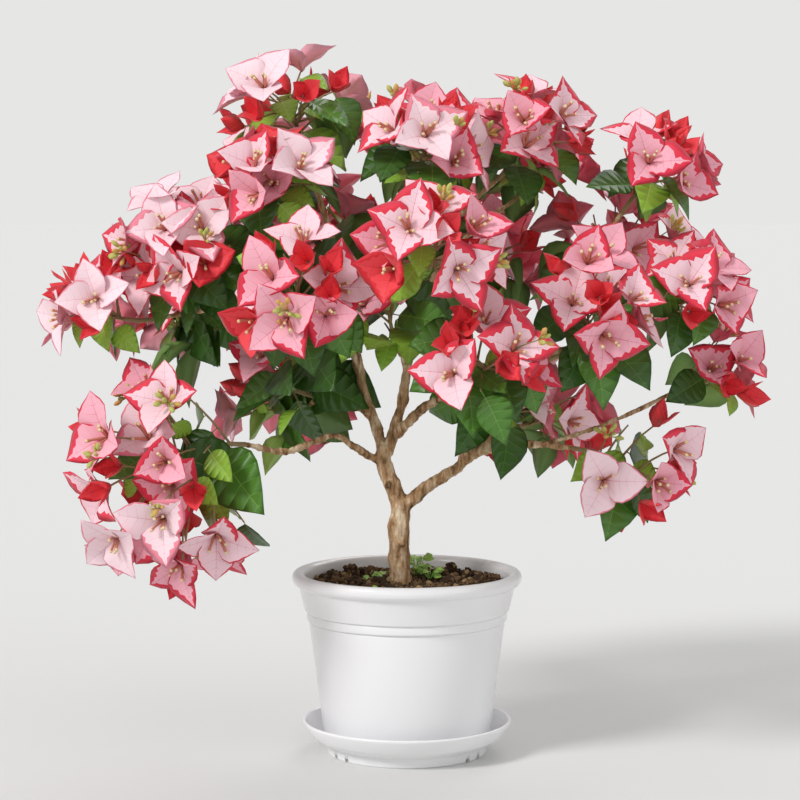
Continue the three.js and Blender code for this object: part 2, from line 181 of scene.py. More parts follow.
@dataclass(frozen=True)
class MouldedPlastic(Finish):
    """Glossy white polypropylene, injection-moulded: smooth, with a hair of flow ripple in its shine."""

    ripple: float = 0.012  # the spacing of the ripple in the shine, in metres
    glossier: float = 0.03  # how far the roughness falls along the ripple
    duller: float = 0.05  # how far it rises
    relief: tuple[float, float] = (0.04, 0.0004)

    def pattern(self, material: bpy.types.Material, shader: bpy.types.Node) -> None:
        """Adds the ripple of the moulding.

        Args:
            material: the material being made.
            shader: its surface shader.
        """
        place = add_node(material, "ShaderNodeTexCoord", {}, {}).outputs["Object"]
        flow = add_noise(material, place, self.ripple, 1.0)
        gloss = add_node(
            material,
            "ShaderNodeMapRange",
            {"To Min": self.roughness - self.glossier, "To Max": self.roughness + self.duller},
            {"Value": flow},
        )
        material.node_tree.links.new(gloss.outputs["Result"], shader.inputs["Roughness"])
        add_relief(material, shader, flow, self.relief)


@dataclass(frozen=True)
class Bark(Finish):
    """Young bark: corky and matt, tan where it is sound and paler or darker in long flecks."""

    pale: str = "EDD8B8"
    dark: str = "58402A"
    shares: tuple[float, float, float] = (0.34, 0.48, 0.66)  # where dark, sound and pale bark lie
    fleck: float = 0.006  # how wide a fleck is, in metres
    along: float = 0.3  # a fleck's width as a share of its length up the trunk
    grit: float = 0.0016
    relief: tuple[float, float] = (0.9, 0.0012)

    def pattern(self, material: bpy.types.Material, shader: bpy.types.Node) -> None:
        """Adds long flecks of colour and the grit of the cork.

        Args:
            material: the material being made.
            shader: its surface shader.
        """
        place = add_node(material, "ShaderNodeTexCoord", {}, {}).outputs["Object"]
        long = add_node(
            material, "ShaderNodeMapping", {"Scale": (1.0, 1.0, self.along)}, {"Vector": place}
        ).outputs["Vector"]
        flecks = add_noise(material, long, self.fleck, 5.0, 0.62)
        shades = add_node(material, "ShaderNodeValToRGB", {}, {"Fac": flecks})
        ramp, (dark, sound, pale) = shades.color_ramp, self.shares
        ramp.elements[0].position, ramp.elements[0].color = dark, linear(self.dark)
        ramp.elements[1].position, ramp.elements[1].color = pale, linear(self.pale)
        ramp.elements.new(sound).color = linear(self.colour)
        material.node_tree.links.new(shades.outputs["Color"], shader.inputs["Base Color"])
        add_relief(material, shader, add_noise(material, long, self.grit, 3.0), self.relief)


@dataclass(frozen=True)
class Humus(Finish):
    """Potting soil: dark, crumbly and matt, in grains of a few millimetres."""

    dark: str = "2C2014"
    shares: tuple[float, float] = (0.35, 0.7)  # where the dark tone, painted shade in the gaps, and the brown soil lie
    grain: float = 0.0035
    relief: tuple[float, float] = (0.8, 0.002)

    def pattern(self, material: bpy.types.Material, shader: bpy.types.Node) -> None:
        """Adds the grains, with painted shade in the gaps between them.

        Args:
            material: the material being made.
            shader: its surface shader.
        """
        place = add_node(material, "ShaderNodeTexCoord", {}, {}).outputs["Object"]
        grains = add_noise(material, place, self.grain, 4.0)
        shades = add_node(material, "ShaderNodeValToRGB", {}, {"Fac": grains})
        # The dark tone lies where the grains' relief is low: painted shade in the gaps between them.
        for element, share, tone in zip(shades.color_ramp.elements, self.shares, (self.dark, self.colour)):
            element.position, element.color = share, linear(tone)
        material.node_tree.links.new(shades.outputs["Color"], shader.inputs["Base Color"])
        add_relief(material, shader, grains, self.relief)


# Polypropylene, injection-moulded in a polished mould: a clear highlight on a clean white wall.
POT_PLASTIC = MouldedPlastic("white_moulded_polypropylene", "F1F1F2", 0.2, ior=1.49)
# Cork bark of a few years: no shine at all.
BOUGH_BARK = Bark("tan_cork_bark", "B48C62", 0.86)
# Peat and bark humus, damp under its crust: matt, with painted shade in the gaps between the crumbs.
SOIL_HUMUS = Humus("crumbly_peat_humus", "624A31", 0.95)
CRUMBS = (
    Finish("dark_peat_crumb", "3F2D1D", 0.95),
    Finish("brown_bark_crumb", "6E5438", 0.92),
    Finish("pale_bark_crumb", "9C8159", 0.9),
)
# Green wood, still without cork: smooth and a little waxy, khaki to tan.
TWIG_SKINS = (Finish("khaki_green_twig", "8C8A50", 0.6), Finish("tan_young_twig", "A08A62", 0.7))
# Moss and a seedling: soft, matt and bright.
SEEDLING_SKIN = Finish("seedling_leaf", "A6CF66", 0.55)


class Leaf(Enum):
    """How old a leaf is. Leaves are waxy above, with a soft broad shine, and paler and duller below."""

    OLD = ("3A6122", "6B8D4A", "5A863A")
    FULL = ("4F7F2C", "80A455", "77A548")
    YOUNG = ("8DB93E", "A3C25F", "B2D06C")

    def finishes(self) -> list[Finish]:
        """Makes the finishes of a leaf of this age.

        Returns:
            The finishes of its blade, underside and rib, in that order.
        """
        name = self.name.lower()
        blade, under, rib = self.value
        return [
            Finish(f"waxy_{name}_leaf", blade, 0.34),
            Finish(f"{name}_leaf_underside", under, 0.6),
            Finish(f"{name}_leaf_rib", rib, 0.5),
        ]


class Bract(Enum):
    """How a blossom is coloured: papery bracts, matt with a faint down, most pale in a stained margin."""

    WASHED = ("FADCE3", "F28A9C", "F4AEBA", "E3A5B1")
    EDGED = ("F8D3DC", "E6324A", "EE8090", "D8919D")
    DEEP = ("F4AFBE", "DF2A45", "E85E73", "CE667B")
    RED = ("EC3F49", "D91C2A", "EC383F", "C3222E")

    def finishes(self) -> list[Finish]:
        """Makes the finishes of a bract of this colour.

        Returns:
            The finishes of its inner face, margin, back and rib, in that order.
        """
        name = self.name.lower()
        parts = zip(("inside", "margin", "back", "rib"), self.value)
        return [Finish(f"papery_{name}_bract_{part}", tone, 0.62, sheen=0.15) for part, tone in parts]


# The tubes of the true flowers, inside the bracts: a downy rose tube with a waxy cream mouth.
TUBE_SKINS = (
    Finish("downy_rose_flower_tube", "CB8670", 0.7),
    Finish("waxy_cream_flower_mouth", "ECD6A6", 0.5),
)
# Flower buds: downy, yellow-green.
BUD_SKINS = (Finish("downy_green_bud", "BDBF69", 0.65), Finish("downy_ochre_bud", "D2A85E", 0.65))
# Matt paper, for the ground.
GROUND_PAPER = Finish("pale_matt_ground", "DEDEDC", 0.9)


# ------------------------------------------------------------------------------------------ shapes from operators


RING_SIDES = 144  # of a turned vessel
EASED = 0.0004  # how wide its edges are eased
EASED_FROM = math.radians(14)  # edges sharper than this are eased
SMOOTH_TO = math.radians(40)  # edges blunter than this are shaded smooth


def deselect() -> None:
    """Leaves nothing selected, so that an operator acts on the new piece alone."""
    bpy.ops.object.select_all(action="DESELECT")


def finished(piece: bpy.types.Object, finish: Finish, slot: str, *nodes: str) -> bpy.types.Object:
    """Dresses a piece and hides the solids that it replaces.

    Args:
        piece: the piece, in place.
        finish: its finish.
        slot: the record's material slot; not used.
        nodes: the solids that it replaces.

    Returns:
        The piece.
    """
    piece.data.materials.clear()
    piece.data.materials.append(finish.material())
    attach(piece, "root")
    if nodes:
        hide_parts(*nodes)
    LOG.info("%s: %d faces", piece.name, len(piece.data.polygons))
    return piece


def turned(name: str, profile: Sequence[tuple[float, float]], sides: int = RING_SIDES) -> bpy.types.Object:
    """Turns a vessel about Z: a disc is drawn up, out and back in, one ring at a time.

    Args:
        name: the piece's name.
        profile: radius and height of each ring, from its underside round its wall to its floor.
        sides: how many sides the rings have.

    Returns:
        The closed vessel, with its edges eased and smoothly shaded.
    """
    deselect()
    (radius, height), *_ = profile
    bpy.ops.mesh.primitive_circle_add(
        vertices=sides, radius=radius, fill_type="NGON", location=(0, 0, height)
    )
    piece = bpy.context.object
    piece.name = name
    bpy.ops.object.transform_apply(location=True, rotation=True, scale=True)
    bpy.ops.object.mode_set(mode="EDIT")
    bpy.ops.mesh.select_all(action="SELECT")
    for (was, low), (radius, height) in pairwise(profile):
        bpy.ops.mesh.extrude_region_move(TRANSFORM_OT_translate={"value": (0, 0, height - low)})
        share = radius / was
        bpy.ops.transform.resize(value=(share, share, 1), center_override=(0, 0, height))
    bpy.ops.mesh.select_all(action="SELECT")
    bpy.ops.mesh.normals_make_consistent(inside=False)
    bpy.ops.object.mode_set(mode="OBJECT")
    ease = piece.modifiers.new("ease", "BEVEL")
    ease.width, ease.segments, ease.limit_method, ease.angle_limit = EASED, 2, "ANGLE", EASED_FROM
    bpy.ops.object.modifier_apply(modifier=ease.name)
    bpy.ops.object.shade_smooth_by_angle(angle=SMOOTH_TO)
    return piece


# ------------------------------------------------------------------------------------- shapes from arrays


@dataclass(frozen=True)
class Shape:
    """A small closed shape that is copied many times: its corners, its faces and the finish of each face."""

    corners: np.ndarray
    faces: tuple[tuple[int, ...], ...]
    finish: tuple[int, ...]

    def loops(self) -> np.ndarray:
        """The corners of all faces, one after the other."""
        return np.array([corner for face in self.faces for corner in face], np.int64)

    def sizes(self) -> np.ndarray:
        """How many corners each face has."""
        return np.array([len(face) for face in self.faces], np.int64)


@dataclass
class Joined:
    """A piece that many small shapes are joined into."""

    name: str
    finishes: list[Finish]
    smooth: bool = True
    corners: list[np.ndarray] = field(default_factory=list)
    loops: list[np.ndarray] = field(default_factory=list)
    sizes: list[np.ndarray] = field(default_factory=list)
    finish: list[np.ndarray] = field(default_factory=list)
    count: int = 0

    def add(self, shape: Shape, axes: np.ndarray, at: np.ndarray, scale: float = 1.0, first: int = 0) -> None:
        """Adds a copy of a shape.

        Args:
            shape: the shape.
            axes: the directions of its X, Y and Z, as rows.
            at: where its origin goes.
            scale: how much larger it is made.
            first: the place of its first finish among the piece's finishes.
        """
        self.corners.append(shape.corners @ axes * scale + at)
        self.loops.append(shape.loops() + self.count)
        self.sizes.append(shape.sizes())
        self.finish.append(np.array(shape.finish, np.int64) + first)
        self.count += len(shape.corners)

    def made(self, slot: str, *nodes: str) -> bpy.types.Object:
        """Makes the piece.

        Args:
            slot: the record's material slot; not used.
            nodes: the solids that it replaces.

        Returns:
            The piece, shaded smoothly unless it is made faceted.
        """
        mesh = bpy.data.meshes.new(self.name)
        corners, loops = np.concatenate(self.corners), np.concatenate(self.loops)
        sizes, finish = np.concatenate(self.sizes), np.concatenate(self.finish)
        mesh.vertices.add(len(corners))
        mesh.vertices.foreach_set("co", corners.astype(np.float32).ravel())
        mesh.loops.add(len(loops))
        mesh.loops.foreach_set("vertex_index", loops.astype(np.int32))
        mesh.polygons.add(len(sizes))
        mesh.polygons.foreach_set("loop_start", (np.cumsum(sizes) - sizes).astype(np.int32))
        for each in self.finishes:
            mesh.materials.append(each.material())
        mesh.polygons.foreach_set("material_index", finish.astype(np.int32))
        mesh.polygons.foreach_set("use_smooth", np.full(len(sizes), self.smooth))
        mesh.update(calc_edges=True)
        mesh.validate()
        piece = bpy.data.objects.new(self.name, mesh)
        bpy.context.scene.collection.objects.link(piece)
        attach(piece, "root")
        if nodes:
            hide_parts(*nodes)
        LOG.info("%s: %d triangles", self.name, int((sizes - 2).sum()))
        return piece


def unit(vector: np.ndarray) -> np.ndarray:
    """A vector's direction."""
    return vector / max(float(np.linalg.norm(vector)), 1e-12)


def beside(direction: np.ndarray) -> np.ndarray:
    """Up, or sideways where a direction itself runs nearly upright, to measure its sides from."""
    return UP if abs(direction[2]) < 0.9 else SIDEWAYS


def axes_for(forward: np.ndarray, face: np.ndarray) -> np.ndarray:
    """Axes with Y along one direction and Z as near as can be to another.

    Args:
        forward: where Y goes.
        face: what Z turns towards.

    Returns:
        The three axes as rows.
    """
    y = unit(forward)
    z = unit(face - y * float(face @ y))
    return np.array((np.cross(y, z), y, z))


def tube(points: np.ndarray, radii: Sequence[float], sides: int) -> Shape:
    """A closed tube along points.

    Args:
        points: the middle of each ring.
        radii: each ring's radius.
        sides: how many sides it has.

    Returns:
        The tube, in the frame of its points.
    """
    corners, faces = [], []
    heading = unit(points[1] - points[0])
    side = unit(np.cross(heading, beside(heading)))
    for i, (point, radius) in enumerate(zip(points, radii)):
        ahead = unit(points[min(i + 1, len(points) - 1)] - points[max(i - 1, 0)])
        side = unit(side - ahead * float(side @ ahead))
        over = np.cross(ahead, side)
        for k in range(sides):
            angle = 2 * math.pi * k / sides
            corners.append(point + radius * (math.cos(angle) * side + math.sin(angle) * over))
    for i in range(len(points) - 1):
        for k in range(sides):
            a, b = i * sides + k, i * sides + (k + 1) % sides
            faces.append((a, b, b + sides, a + sides))
    last = (len(points) - 1) * sides
    faces.append(tuple(range(sides - 1, -1, -1)))
    faces.append(tuple(range(last, last + sides)))
    return Shape(np.array(corners), tuple(faces), (0,) * len(faces))


# ------------------------------------------------------------------------------------------ the seeded rule


# Which streams of chance are whose: a mass has a thousand, and what is made once has its own.
MASS_STREAMS, SHADED_STREAMS = 1000, 80
CRUMB_STREAM, CRUMB_SHAPE_STREAM, TUFT_STREAM, TUFT_LEAF_STREAM = 70_000, 71_000, 72_000, 73_000
LEAF_SHAPE_STREAMS, BRACT_SHAPE_STREAMS, BLOSSOM_STREAMS = 90_000, 95_000, 97_000


class Chance:
    """A repeatable stream of numbers from 0 to 1, the same as the solids' own."""

    def __init__(self, seed: int, bush: int = 3) -> None:
        """Starts the stream.

        Args:
            seed: which stream of this bush it is.
            bush: the bush's own number.
        """
        self.state = ((bush * 100000 + seed) * 2654435761 + 40503) & 0xFFFFFFFF

    def __call__(self) -> float:
        """The next number."""
        self.state = (self.state * 1664525 + 1013904223) & 0xFFFFFFFF
        return self.state / 4294967296


class Route:
    """A line through space, read by the share of its length."""

    def __init__(self, samples: np.ndarray) -> None:
        """Measures the line.

        Args:
            samples: points along it, close together.
        """
        self.samples = samples
        steps = np.linalg.norm(np.diff(samples, axis=0), axis=1)
        self.shares = np.concatenate(((0.0,), np.cumsum(steps))) / steps.sum()
        self.length = float(steps.sum())

    @classmethod
    def through(cls, knots: Sequence[Point], fine: int = 24) -> "Route":
        """A smooth line through points.

        Args:
            knots: the points.
            fine: how many samples each stretch gets.

        Returns:
            The line.
        """
        known = np.array(knots, float)
        before, after = 2 * known[0] - known[1], 2 * known[-1] - known[-2]
        row = np.vstack((before, known, after))
        samples = []
        for i in range(1, len(row) - 2):
            p0, p1, p2, p3 = row[i - 1 : i + 3]
            d0, d1, d2 = (math.sqrt(float(np.linalg.norm(b - a))) for a, b in pairwise((p0, p1, p2, p3)))
            leave = ((p1 - p0) / d0 - (p2 - p0) / (d0 + d1) + (p2 - p1) / d1) * d1
            arrive = ((p2 - p1) / d1 - (p3 - p1) / (d1 + d2) + (p3 - p2) / d2) * d1
            for t in np.arange(fine) / fine:
                samples.append(
                    p1 + leave * t + (-3 * p1 + 3 * p2 - 2 * leave - arrive) * t**2
                    + (2 * p1 - 2 * p2 + leave + arrive) * t**3
                )
        samples.append(row[-2])
        return cls(np.array(samples))

    @classmethod
    def arched(cls, start: np.ndarray, elbow: np.ndarray, tip: np.ndarray) -> "Route":
        """A line that bends once, towards its elbow."""
        t = np.linspace(0, 1, 17)[:, None]
        return cls((1 - t) ** 2 * start + 2 * (1 - t) * t * elbow + t**2 * tip)

    def at(self, share: float) -> np.ndarray:
        """The point at a share of the length."""
        return np.array([np.interp(share, self.shares, self.samples[:, k]) for k in range(3)])

    def heading(self, share: float) -> np.ndarray:
        """The direction at a share of the length."""
        return unit(self.at(min(share + 0.01, 1)) - self.at(max(share - 0.01, 0)))

    def spaced(self, count: int) -> np.ndarray:
        """Points at even spacing along it, both ends among them."""
        return np.array([self.at(i / (count - 1)) for i in range(count)])


@dataclass(frozen=True)
class Limb:
    """The trunk or a bough: its line and its radii, spread evenly along it."""

    name: str
    route: Route
    radii: tuple[float, ...]

    def radius(self, share: float) -> float:
        """The radius at a share of the length."""
        return float(np.interp(share * (len(self.radii) - 1), range(len(self.radii)), self.radii))


@dataclass(frozen=True)
class Mass:
    """A mass of foliage: its centre, its reach along each axis and the wood that carries it."""

    name: str
    at: Point
    reach: Point
    leader: str = ""
    on: str = ""
    along: float = 0.0
    leafy: bool = False
    hanging: bool = False
    tints: tuple[Bract, ...] = (Bract.EDGED, Bract.EDGED, Bract.WASHED, Bract.DEEP)
    full: float = 1.0
    budding: float = 0.0  # how many more of its blossoms are still closed
    young: float = 0.16  # the share of its leaves that are young
    leaf_spacing: float = 0.0195  # least distance between the middles of two leaves
    crowding: float = 1.0  # how near its blossoms stand, as a share of the usual distance

    @property
    def size(self) -> float:
        """Its mean reach."""
        return sum(self.reach) / 3

    def own_reach(self, direction: np.ndarray) -> float:
        """How far it reaches from its centre along a direction, its cell's walls left out."""
        return 1 / float(np.linalg.norm(direction / np.array(self.reach)))


CLOSED, HALF_OPEN, OPEN = 0.42, 0.85, 1.18  # how far a blossom's bracts lean out from its axis, in radians


@dataclass(frozen=True)
class Blossom:
    """A blossom's place, axis, bracts and colour."""

    at: np.ndarray
    axis: np.ndarray
    lobes: int
    spin: float
    opening: float
    length: float
    tint: Bract


@dataclass(frozen=True)
class Blade:
    """A leaf's root, direction, upper side, length and age."""

    root: np.ndarray
    along: np.ndarray
    face: np.ndarray
    length: float
    age: Leaf


@dataclass(frozen=True)
class Shoot:
    """A twig with what it may carry."""

    route: Route
    radius: float
    green: bool


# The masses on the left, where the light falls, take paler tints and those on the right deeper ones: painted
# light and painted shade, over the blossoms' own mix of tones.
PALE_LIT_SIDE = (Bract.WASHED, Bract.WASHED, Bract.WASHED, Bract.EDGED)
EDGED_SIDE = (Bract.EDGED, Bract.EDGED, Bract.EDGED, Bract.EDGED, Bract.DEEP)
DEEP_SHADED_SIDE = (Bract.EDGED, Bract.DEEP, Bract.EDGED)

LEFT, MIDDLE, RIGHT = "bough_left_leader", "bough_middle_leader", "bough_right_leader"
LOW_LEFT, LOW_RIGHT = "bough_low_left", "bough_low_right"

MASSES = (
    Mass("low_left", (-0.176, -0.085, 0.232), (0.092, 0.066, 0.098),
         leader=LOW_LEFT, hanging=True, young=0.24),
    Mass("left_tip", (-0.229, -0.052, 0.354), (0.060, 0.054, 0.054),
         on=LEFT, along=0.38, tints=PALE_LIT_SIDE, budding=0.15, young=0.25, crowding=0.86),
    Mass("left_shoulder", (-0.160, -0.044, 0.396), (0.078, 0.068, 0.066),
         on=LEFT, along=0.55, tints=PALE_LIT_SIDE, full=1.5, crowding=0.76),
    Mass("upper_left", (-0.100, -0.072, 0.452), (0.060, 0.058, 0.048),
         on=LEFT, along=0.68, tints=PALE_LIT_SIDE, full=1.15, crowding=0.84),
    Mass("top_left", (-0.086, 0.0, 0.508), (0.070, 0.064, 0.054),
         leader=LEFT, tints=PALE_LIT_SIDE, full=0.85, budding=0.36, young=0.5),
    Mass("top_middle", (0.012, -0.068, 0.476), (0.056, 0.062, 0.052), leader=MIDDLE),
    Mass("top_right", (0.092, -0.012, 0.486), (0.060, 0.064, 0.058),
         on=MIDDLE, along=0.62, tints=EDGED_SIDE, budding=0.14, young=0.26),
    Mass("upper_right", (0.190, -0.020, 0.458), (0.058, 0.054, 0.058),
         on=RIGHT, along=0.6, budding=0.25, young=0.36),
    Mass("front_left", (-0.077, -0.150, 0.364), (0.058, 0.060, 0.072),
         on=LEFT, along=0.3, tints=EDGED_SIDE),
    Mass("front_middle", (0.019, -0.168, 0.402), (0.060, 0.058, 0.056),
         on=MIDDLE, along=0.52, tints=EDGED_SIDE),
    Mass("front_right", (0.054, -0.152, 0.318), (0.058, 0.058, 0.062),
         on=RIGHT, along=0.42, tints=EDGED_SIDE),
    Mass("right_front", (0.140, -0.108, 0.350), (0.056, 0.060, 0.078), leader=RIGHT, tints=DEEP_SHADED_SIDE),
    Mass("right_middle", (0.216, -0.042, 0.364), (0.054, 0.058, 0.056),
         on=RIGHT, along=0.78, tints=DEEP_SHADED_SIDE),
    Mass("far_right", (0.238, -0.024, 0.302), (0.056, 0.052, 0.054),
         on=LOW_RIGHT, along=0.84, tints=DEEP_SHADED_SIDE, full=0.6),
    Mass("low_right", (0.168, -0.066, 0.232), (0.064, 0.058, 0.068),
         leader=LOW_RIGHT, hanging=True, full=0.5),
    Mass("inner_left", (-0.084, -0.006, 0.296), (0.070, 0.062, 0.064),
         on=LEFT, along=0.12, leafy=True, leaf_spacing=0.0245),
    Mass("inner_right", (0.066, -0.030, 0.276), (0.064, 0.060, 0.052),
         on=LOW_RIGHT, along=0.55, leafy=True, leaf_spacing=0.0225),
    Mass("inner_middle", (-0.012, -0.044, 0.346), (0.056, 0.052, 0.054),
         on=MIDDLE, along=0.3, leafy=True, young=0.24),
    Mass("back_left", (-0.182, 0.088, 0.352), (0.078, 0.076, 0.076),
         on=LEFT, along=0.33, tints=PALE_LIT_SIDE),
    Mass("back_middle_left", (-0.072, 0.158, 0.396), (0.074, 0.068, 0.074), on=LEFT, along=0.45),
    Mass("back_middle_right", (0.058, 0.162, 0.384), (0.074, 0.068, 0.076), on=MIDDLE, along=0.42),
    Mass("back_right", (0.172, 0.096, 0.384), (0.076, 0.074, 0.080), on=RIGHT, along=0.5, tints=DEEP_SHADED_SIDE),
    Mass("back_top_left", (-0.096, 0.084, 0.462), (0.060, 0.060, 0.054),
         on=LEFT, along=0.62, tints=PALE_LIT_SIDE),
    Mass("back_top", (0.006, 0.072, 0.482), (0.064, 0.062, 0.056), on=MIDDLE, along=0.72),
    Mass("back_top_right", (0.104, 0.088, 0.462), (0.060, 0.060, 0.054), on=MIDDLE, along=0.5),
    Mass("back_low_left", (-0.104, 0.112, 0.266), (0.066, 0.064, 0.060), on=LEFT, along=0.2),
    Mass("back_low_right", (0.112, 0.112, 0.262), (0.068, 0.064, 0.060), on=LOW_RIGHT, along=0.42),
)


@dataclass
class Skeleton:
    """The wood that carries the crown: the trunk, the leaders and a bough for each mass."""

    trunk_route: tuple[Point, ...] = (
        (-0.004, 0.0, 0.130), (-0.0065, 0.0, 0.160), (-0.006, 0.0, 0.182), (-0.0055, 0.0, 0.197),
        (-0.0095, 0.0, 0.210), (-0.015, 0.0, 0.222), (-0.019, 0.0, 0.234), (-0.018, 0.0, 0.247),
    )
    trunk_radii: tuple[float, ...] = (0.0106, 0.0089, 0.0085, 0.0092, 0.0074, 0.0068, 0.0069, 0.0056)
    # Each leader's name, radii and route.
    leaders: tuple[tuple[str, tuple[float, ...], tuple[Point, ...]], ...] = (
        (LOW_LEFT, (0.0036, 0.003, 0.0028, 0.0027, 0.0025, 0.0023),
         ((-0.018, 0, 0.232), (-0.039, -0.008, 0.244), (-0.056, -0.017, 0.256), (-0.073, -0.030, 0.252),
          (-0.096, -0.045, 0.246), (-0.124, -0.060, 0.253))),
        (LOW_RIGHT, (0.0058, 0.0052, 0.0046, 0.0042, 0.0026, 0.0022),
         ((-0.004, 0, 0.196), (0.022, -0.004, 0.218), (0.041, -0.008, 0.230), (0.052, -0.011, 0.240),
          (0.088, -0.028, 0.250), (0.128, -0.046, 0.249))),
        (LEFT, (0.0046, 0.0042, 0.0037, 0.0032, 0.0026, 0.0022),
         ((-0.019, 0, 0.240), (-0.025, 0.006, 0.262), (-0.035, 0.014, 0.290), (-0.046, 0.010, 0.350),
          (-0.062, 0, 0.420), (-0.078, -0.004, 0.468))),
        (MIDDLE, (0.0046, 0.0042, 0.0038, 0.0032, 0.0026, 0.0022),
         ((-0.016, 0, 0.240), (-0.009, 0.001, 0.264), (-0.003, 0.001, 0.284), (0.002, -0.004, 0.340),
          (0.006, -0.020, 0.400), (0.010, -0.042, 0.438))),
        (RIGHT, (0.0042, 0.0038, 0.0034, 0.0028, 0.0023),
         ((-0.009, 0, 0.255), (0.003, -0.010, 0.268), (0.017, -0.021, 0.281), (0.058, -0.048, 0.300),
          (0.104, -0.080, 0.318))),
    )
    # Cut stubs and a knot or two: from, to and radius.
    stubs: tuple[tuple[Point, Point, float], ...] = (
        ((0.020, -0.022, 0.283), (0.029, -0.030, 0.293), 0.0024),
        ((0.041, -0.008, 0.232), (0.046, -0.013, 0.243), 0.0026),
        ((-0.0055, -0.004, 0.168), (-0.004, -0.0095, 0.171), 0.0036),
        ((-0.012, -0.003, 0.214), (-0.0165, -0.0075, 0.217), 0.0032),
        ((-0.040, 0.012, 0.318), (-0.047, 0.005, 0.328), 0.0018),
    )
    stub_flare: float = 1.2  # how much wider a stub is at its foot
    entry_share: float = 0.62  # how far out in its mass a bough ends, as a share of the mass's reach
    onward: float = 0.3  # how far a bough runs on along its parent, as a share of its span
    arch: float = 0.04  # how far it arches up, as a share of its span
    thinner: float = 0.72  # its radius as a share of its parent's
    tip_radius: float = 0.0019
    rod_step: float = 0.006  # how far apart the points of a limb's rod are
    grain: float = 0.0009  # how fine the skin of bark is
    quick_grain: float = 0.0014
    # The relief's furrows, scales and lumps: how close across and along a limb, per metre, and how deep.
    relief: tuple[Point, ...] = ((300, 90, 0.0009), (420, 300, 0.0005), (110, 80, 0.0014))
    fork: Point = (-0.01, 0.0, 0.2)  # the relief is deepest near it
    fade: float = 0.22

    def limbs(self) -> dict[str, Limb]:
        """Lays out the trunk, the leaders and each mass's own bough.

        Returns:
            Every limb by name.
        """
        limbs = {"trunk": Limb("trunk", Route.through(self.trunk_route), self.trunk_radii)}
        for name, radii, route in self.leaders:
            limbs[name] = Limb(name, Route.through(route), radii)
        for mass in MASSES:
            if mass.on:
                limbs["bough_" + mass.name] = self.bough_to(mass, limbs[mass.on])
        return limbs

    def bough_to(self, mass: Mass, parent: Limb) -> Limb:
        """A mass's own bough: it leaves its parent, arches up a little and ends as it enters the mass.

        Args:
            mass: the mass.
            parent: the limb that the bough leaves from.

        Returns:
            The bough.
        """
        start, along = parent.route.at(mass.along), parent.route.heading(mass.along)
        centre = np.array(mass.at)
        inwards = unit(start - centre)
        apart = float(np.linalg.norm(start - centre))
        tip = centre + inwards * min(mass.own_reach(inwards) * self.entry_share, apart * 0.5)
        span = float(np.linalg.norm(tip - start))
        elbow = (start + along * span * self.onward) * 0.75 + tip * 0.25 + UP * span * self.arch
        radius = parent.radius(mass.along) * self.thinner
        radii = (radius, (radius + self.tip_radius) / 2, self.tip_radius)
        return Limb("bough_" + mass.name, Route.arched(start, elbow, tip), radii)

    def build(self, limbs: dict[str, Limb]) -> bpy.types.Object:
        """Builds trunk and boughs as one skin of bark: rods along each limb, fused, smoothed and cracked.

        Args:
            limbs: the limbs.

        Returns:
            The bark.
        """
        deselect()
        bpy.ops.curve.primitive_nurbs_path_add(location=(0, 0, 0))
        rods = bpy.context.object
        rods.name = "bark"
        rods.data.splines.clear()
        rods.data.dimensions = "3D"
        rods.data.bevel_depth, rods.data.bevel_resolution, rods.data.use_fill_caps = 1.0, 3, True
        lines = []
        for limb in limbs.values():
            shares = np.linspace(0, 1, max(6, int(limb.route.length / self.rod_step)))
            lines.append([(limb.route.at(share), limb.radius(share)) for share in shares])
        lines += [[(np.array(a), r * self.stub_flare), (np.array(b), r)] for a, b, r in self.stubs]
        for line in lines:
            rod = rods.data.splines.new("POLY")
            rod.points.add(len(line) - 1)
            for point, (place, radius) in zip(rod.points, line):
                point.co, point.radius = (*place, 1), radius
        bpy.ops.object.convert(target="MESH")
        bark = bpy.context.object
        for kind, settings in (
            ("REMESH", {"mode": "VOXEL", "voxel_size": self.grain}),
            ("SMOOTH", {"factor": 0.5, "iterations": 4}),
        ):
            step = bark.modifiers.new(kind.lower(), kind)
            for name, value in settings.items():
                setattr(step, name, value)
            bpy.ops.object.modifier_apply(modifier=step.name)
        self.crack(bark)
        bpy.ops.object.shade_smooth()
        return finished(bark, BOUGH_BARK, "bark", *limbs)

    def crack(self, bark: bpy.types.Object) -> None:
        """Gives the bark its relief: shallow furrows that run up the limbs, and lumps.

        Args:
            bark: the smooth skin.
        """
        mesh = bark.data
        count = len(mesh.vertices)
        places, normals = np.empty(count * 3, np.float32), np.empty(count * 3, np.float32)
        mesh.vertices.foreach_get("co", places)
        mesh.vertices.foreach_get("normal", normals)
        places, normals = places.reshape(-1, 3), normals.reshape(-1, 3)
        height = np.empty(count, np.float32)
        for i, (x, y, z) in enumerate(places.tolist()):
            lift = 0.0
            for across, along, depth in self.relief:
                lift += noise.noise(Vector((x * across, y * across, z * along))) * depth
            height[i] = lift
        # Thin boughs are smoother than the trunk.
        from_fork = np.linalg.norm(places - np.array(self.fork), axis=1)
        height *= np.clip(1.35 - from_fork / self.fade, 0.35, 1)
        mesh.vertices.foreach_set("co", (places + normals * height[:, None]).ravel())
        mesh.update()


# ----------------------------------------------------------------------------------------------- the crown


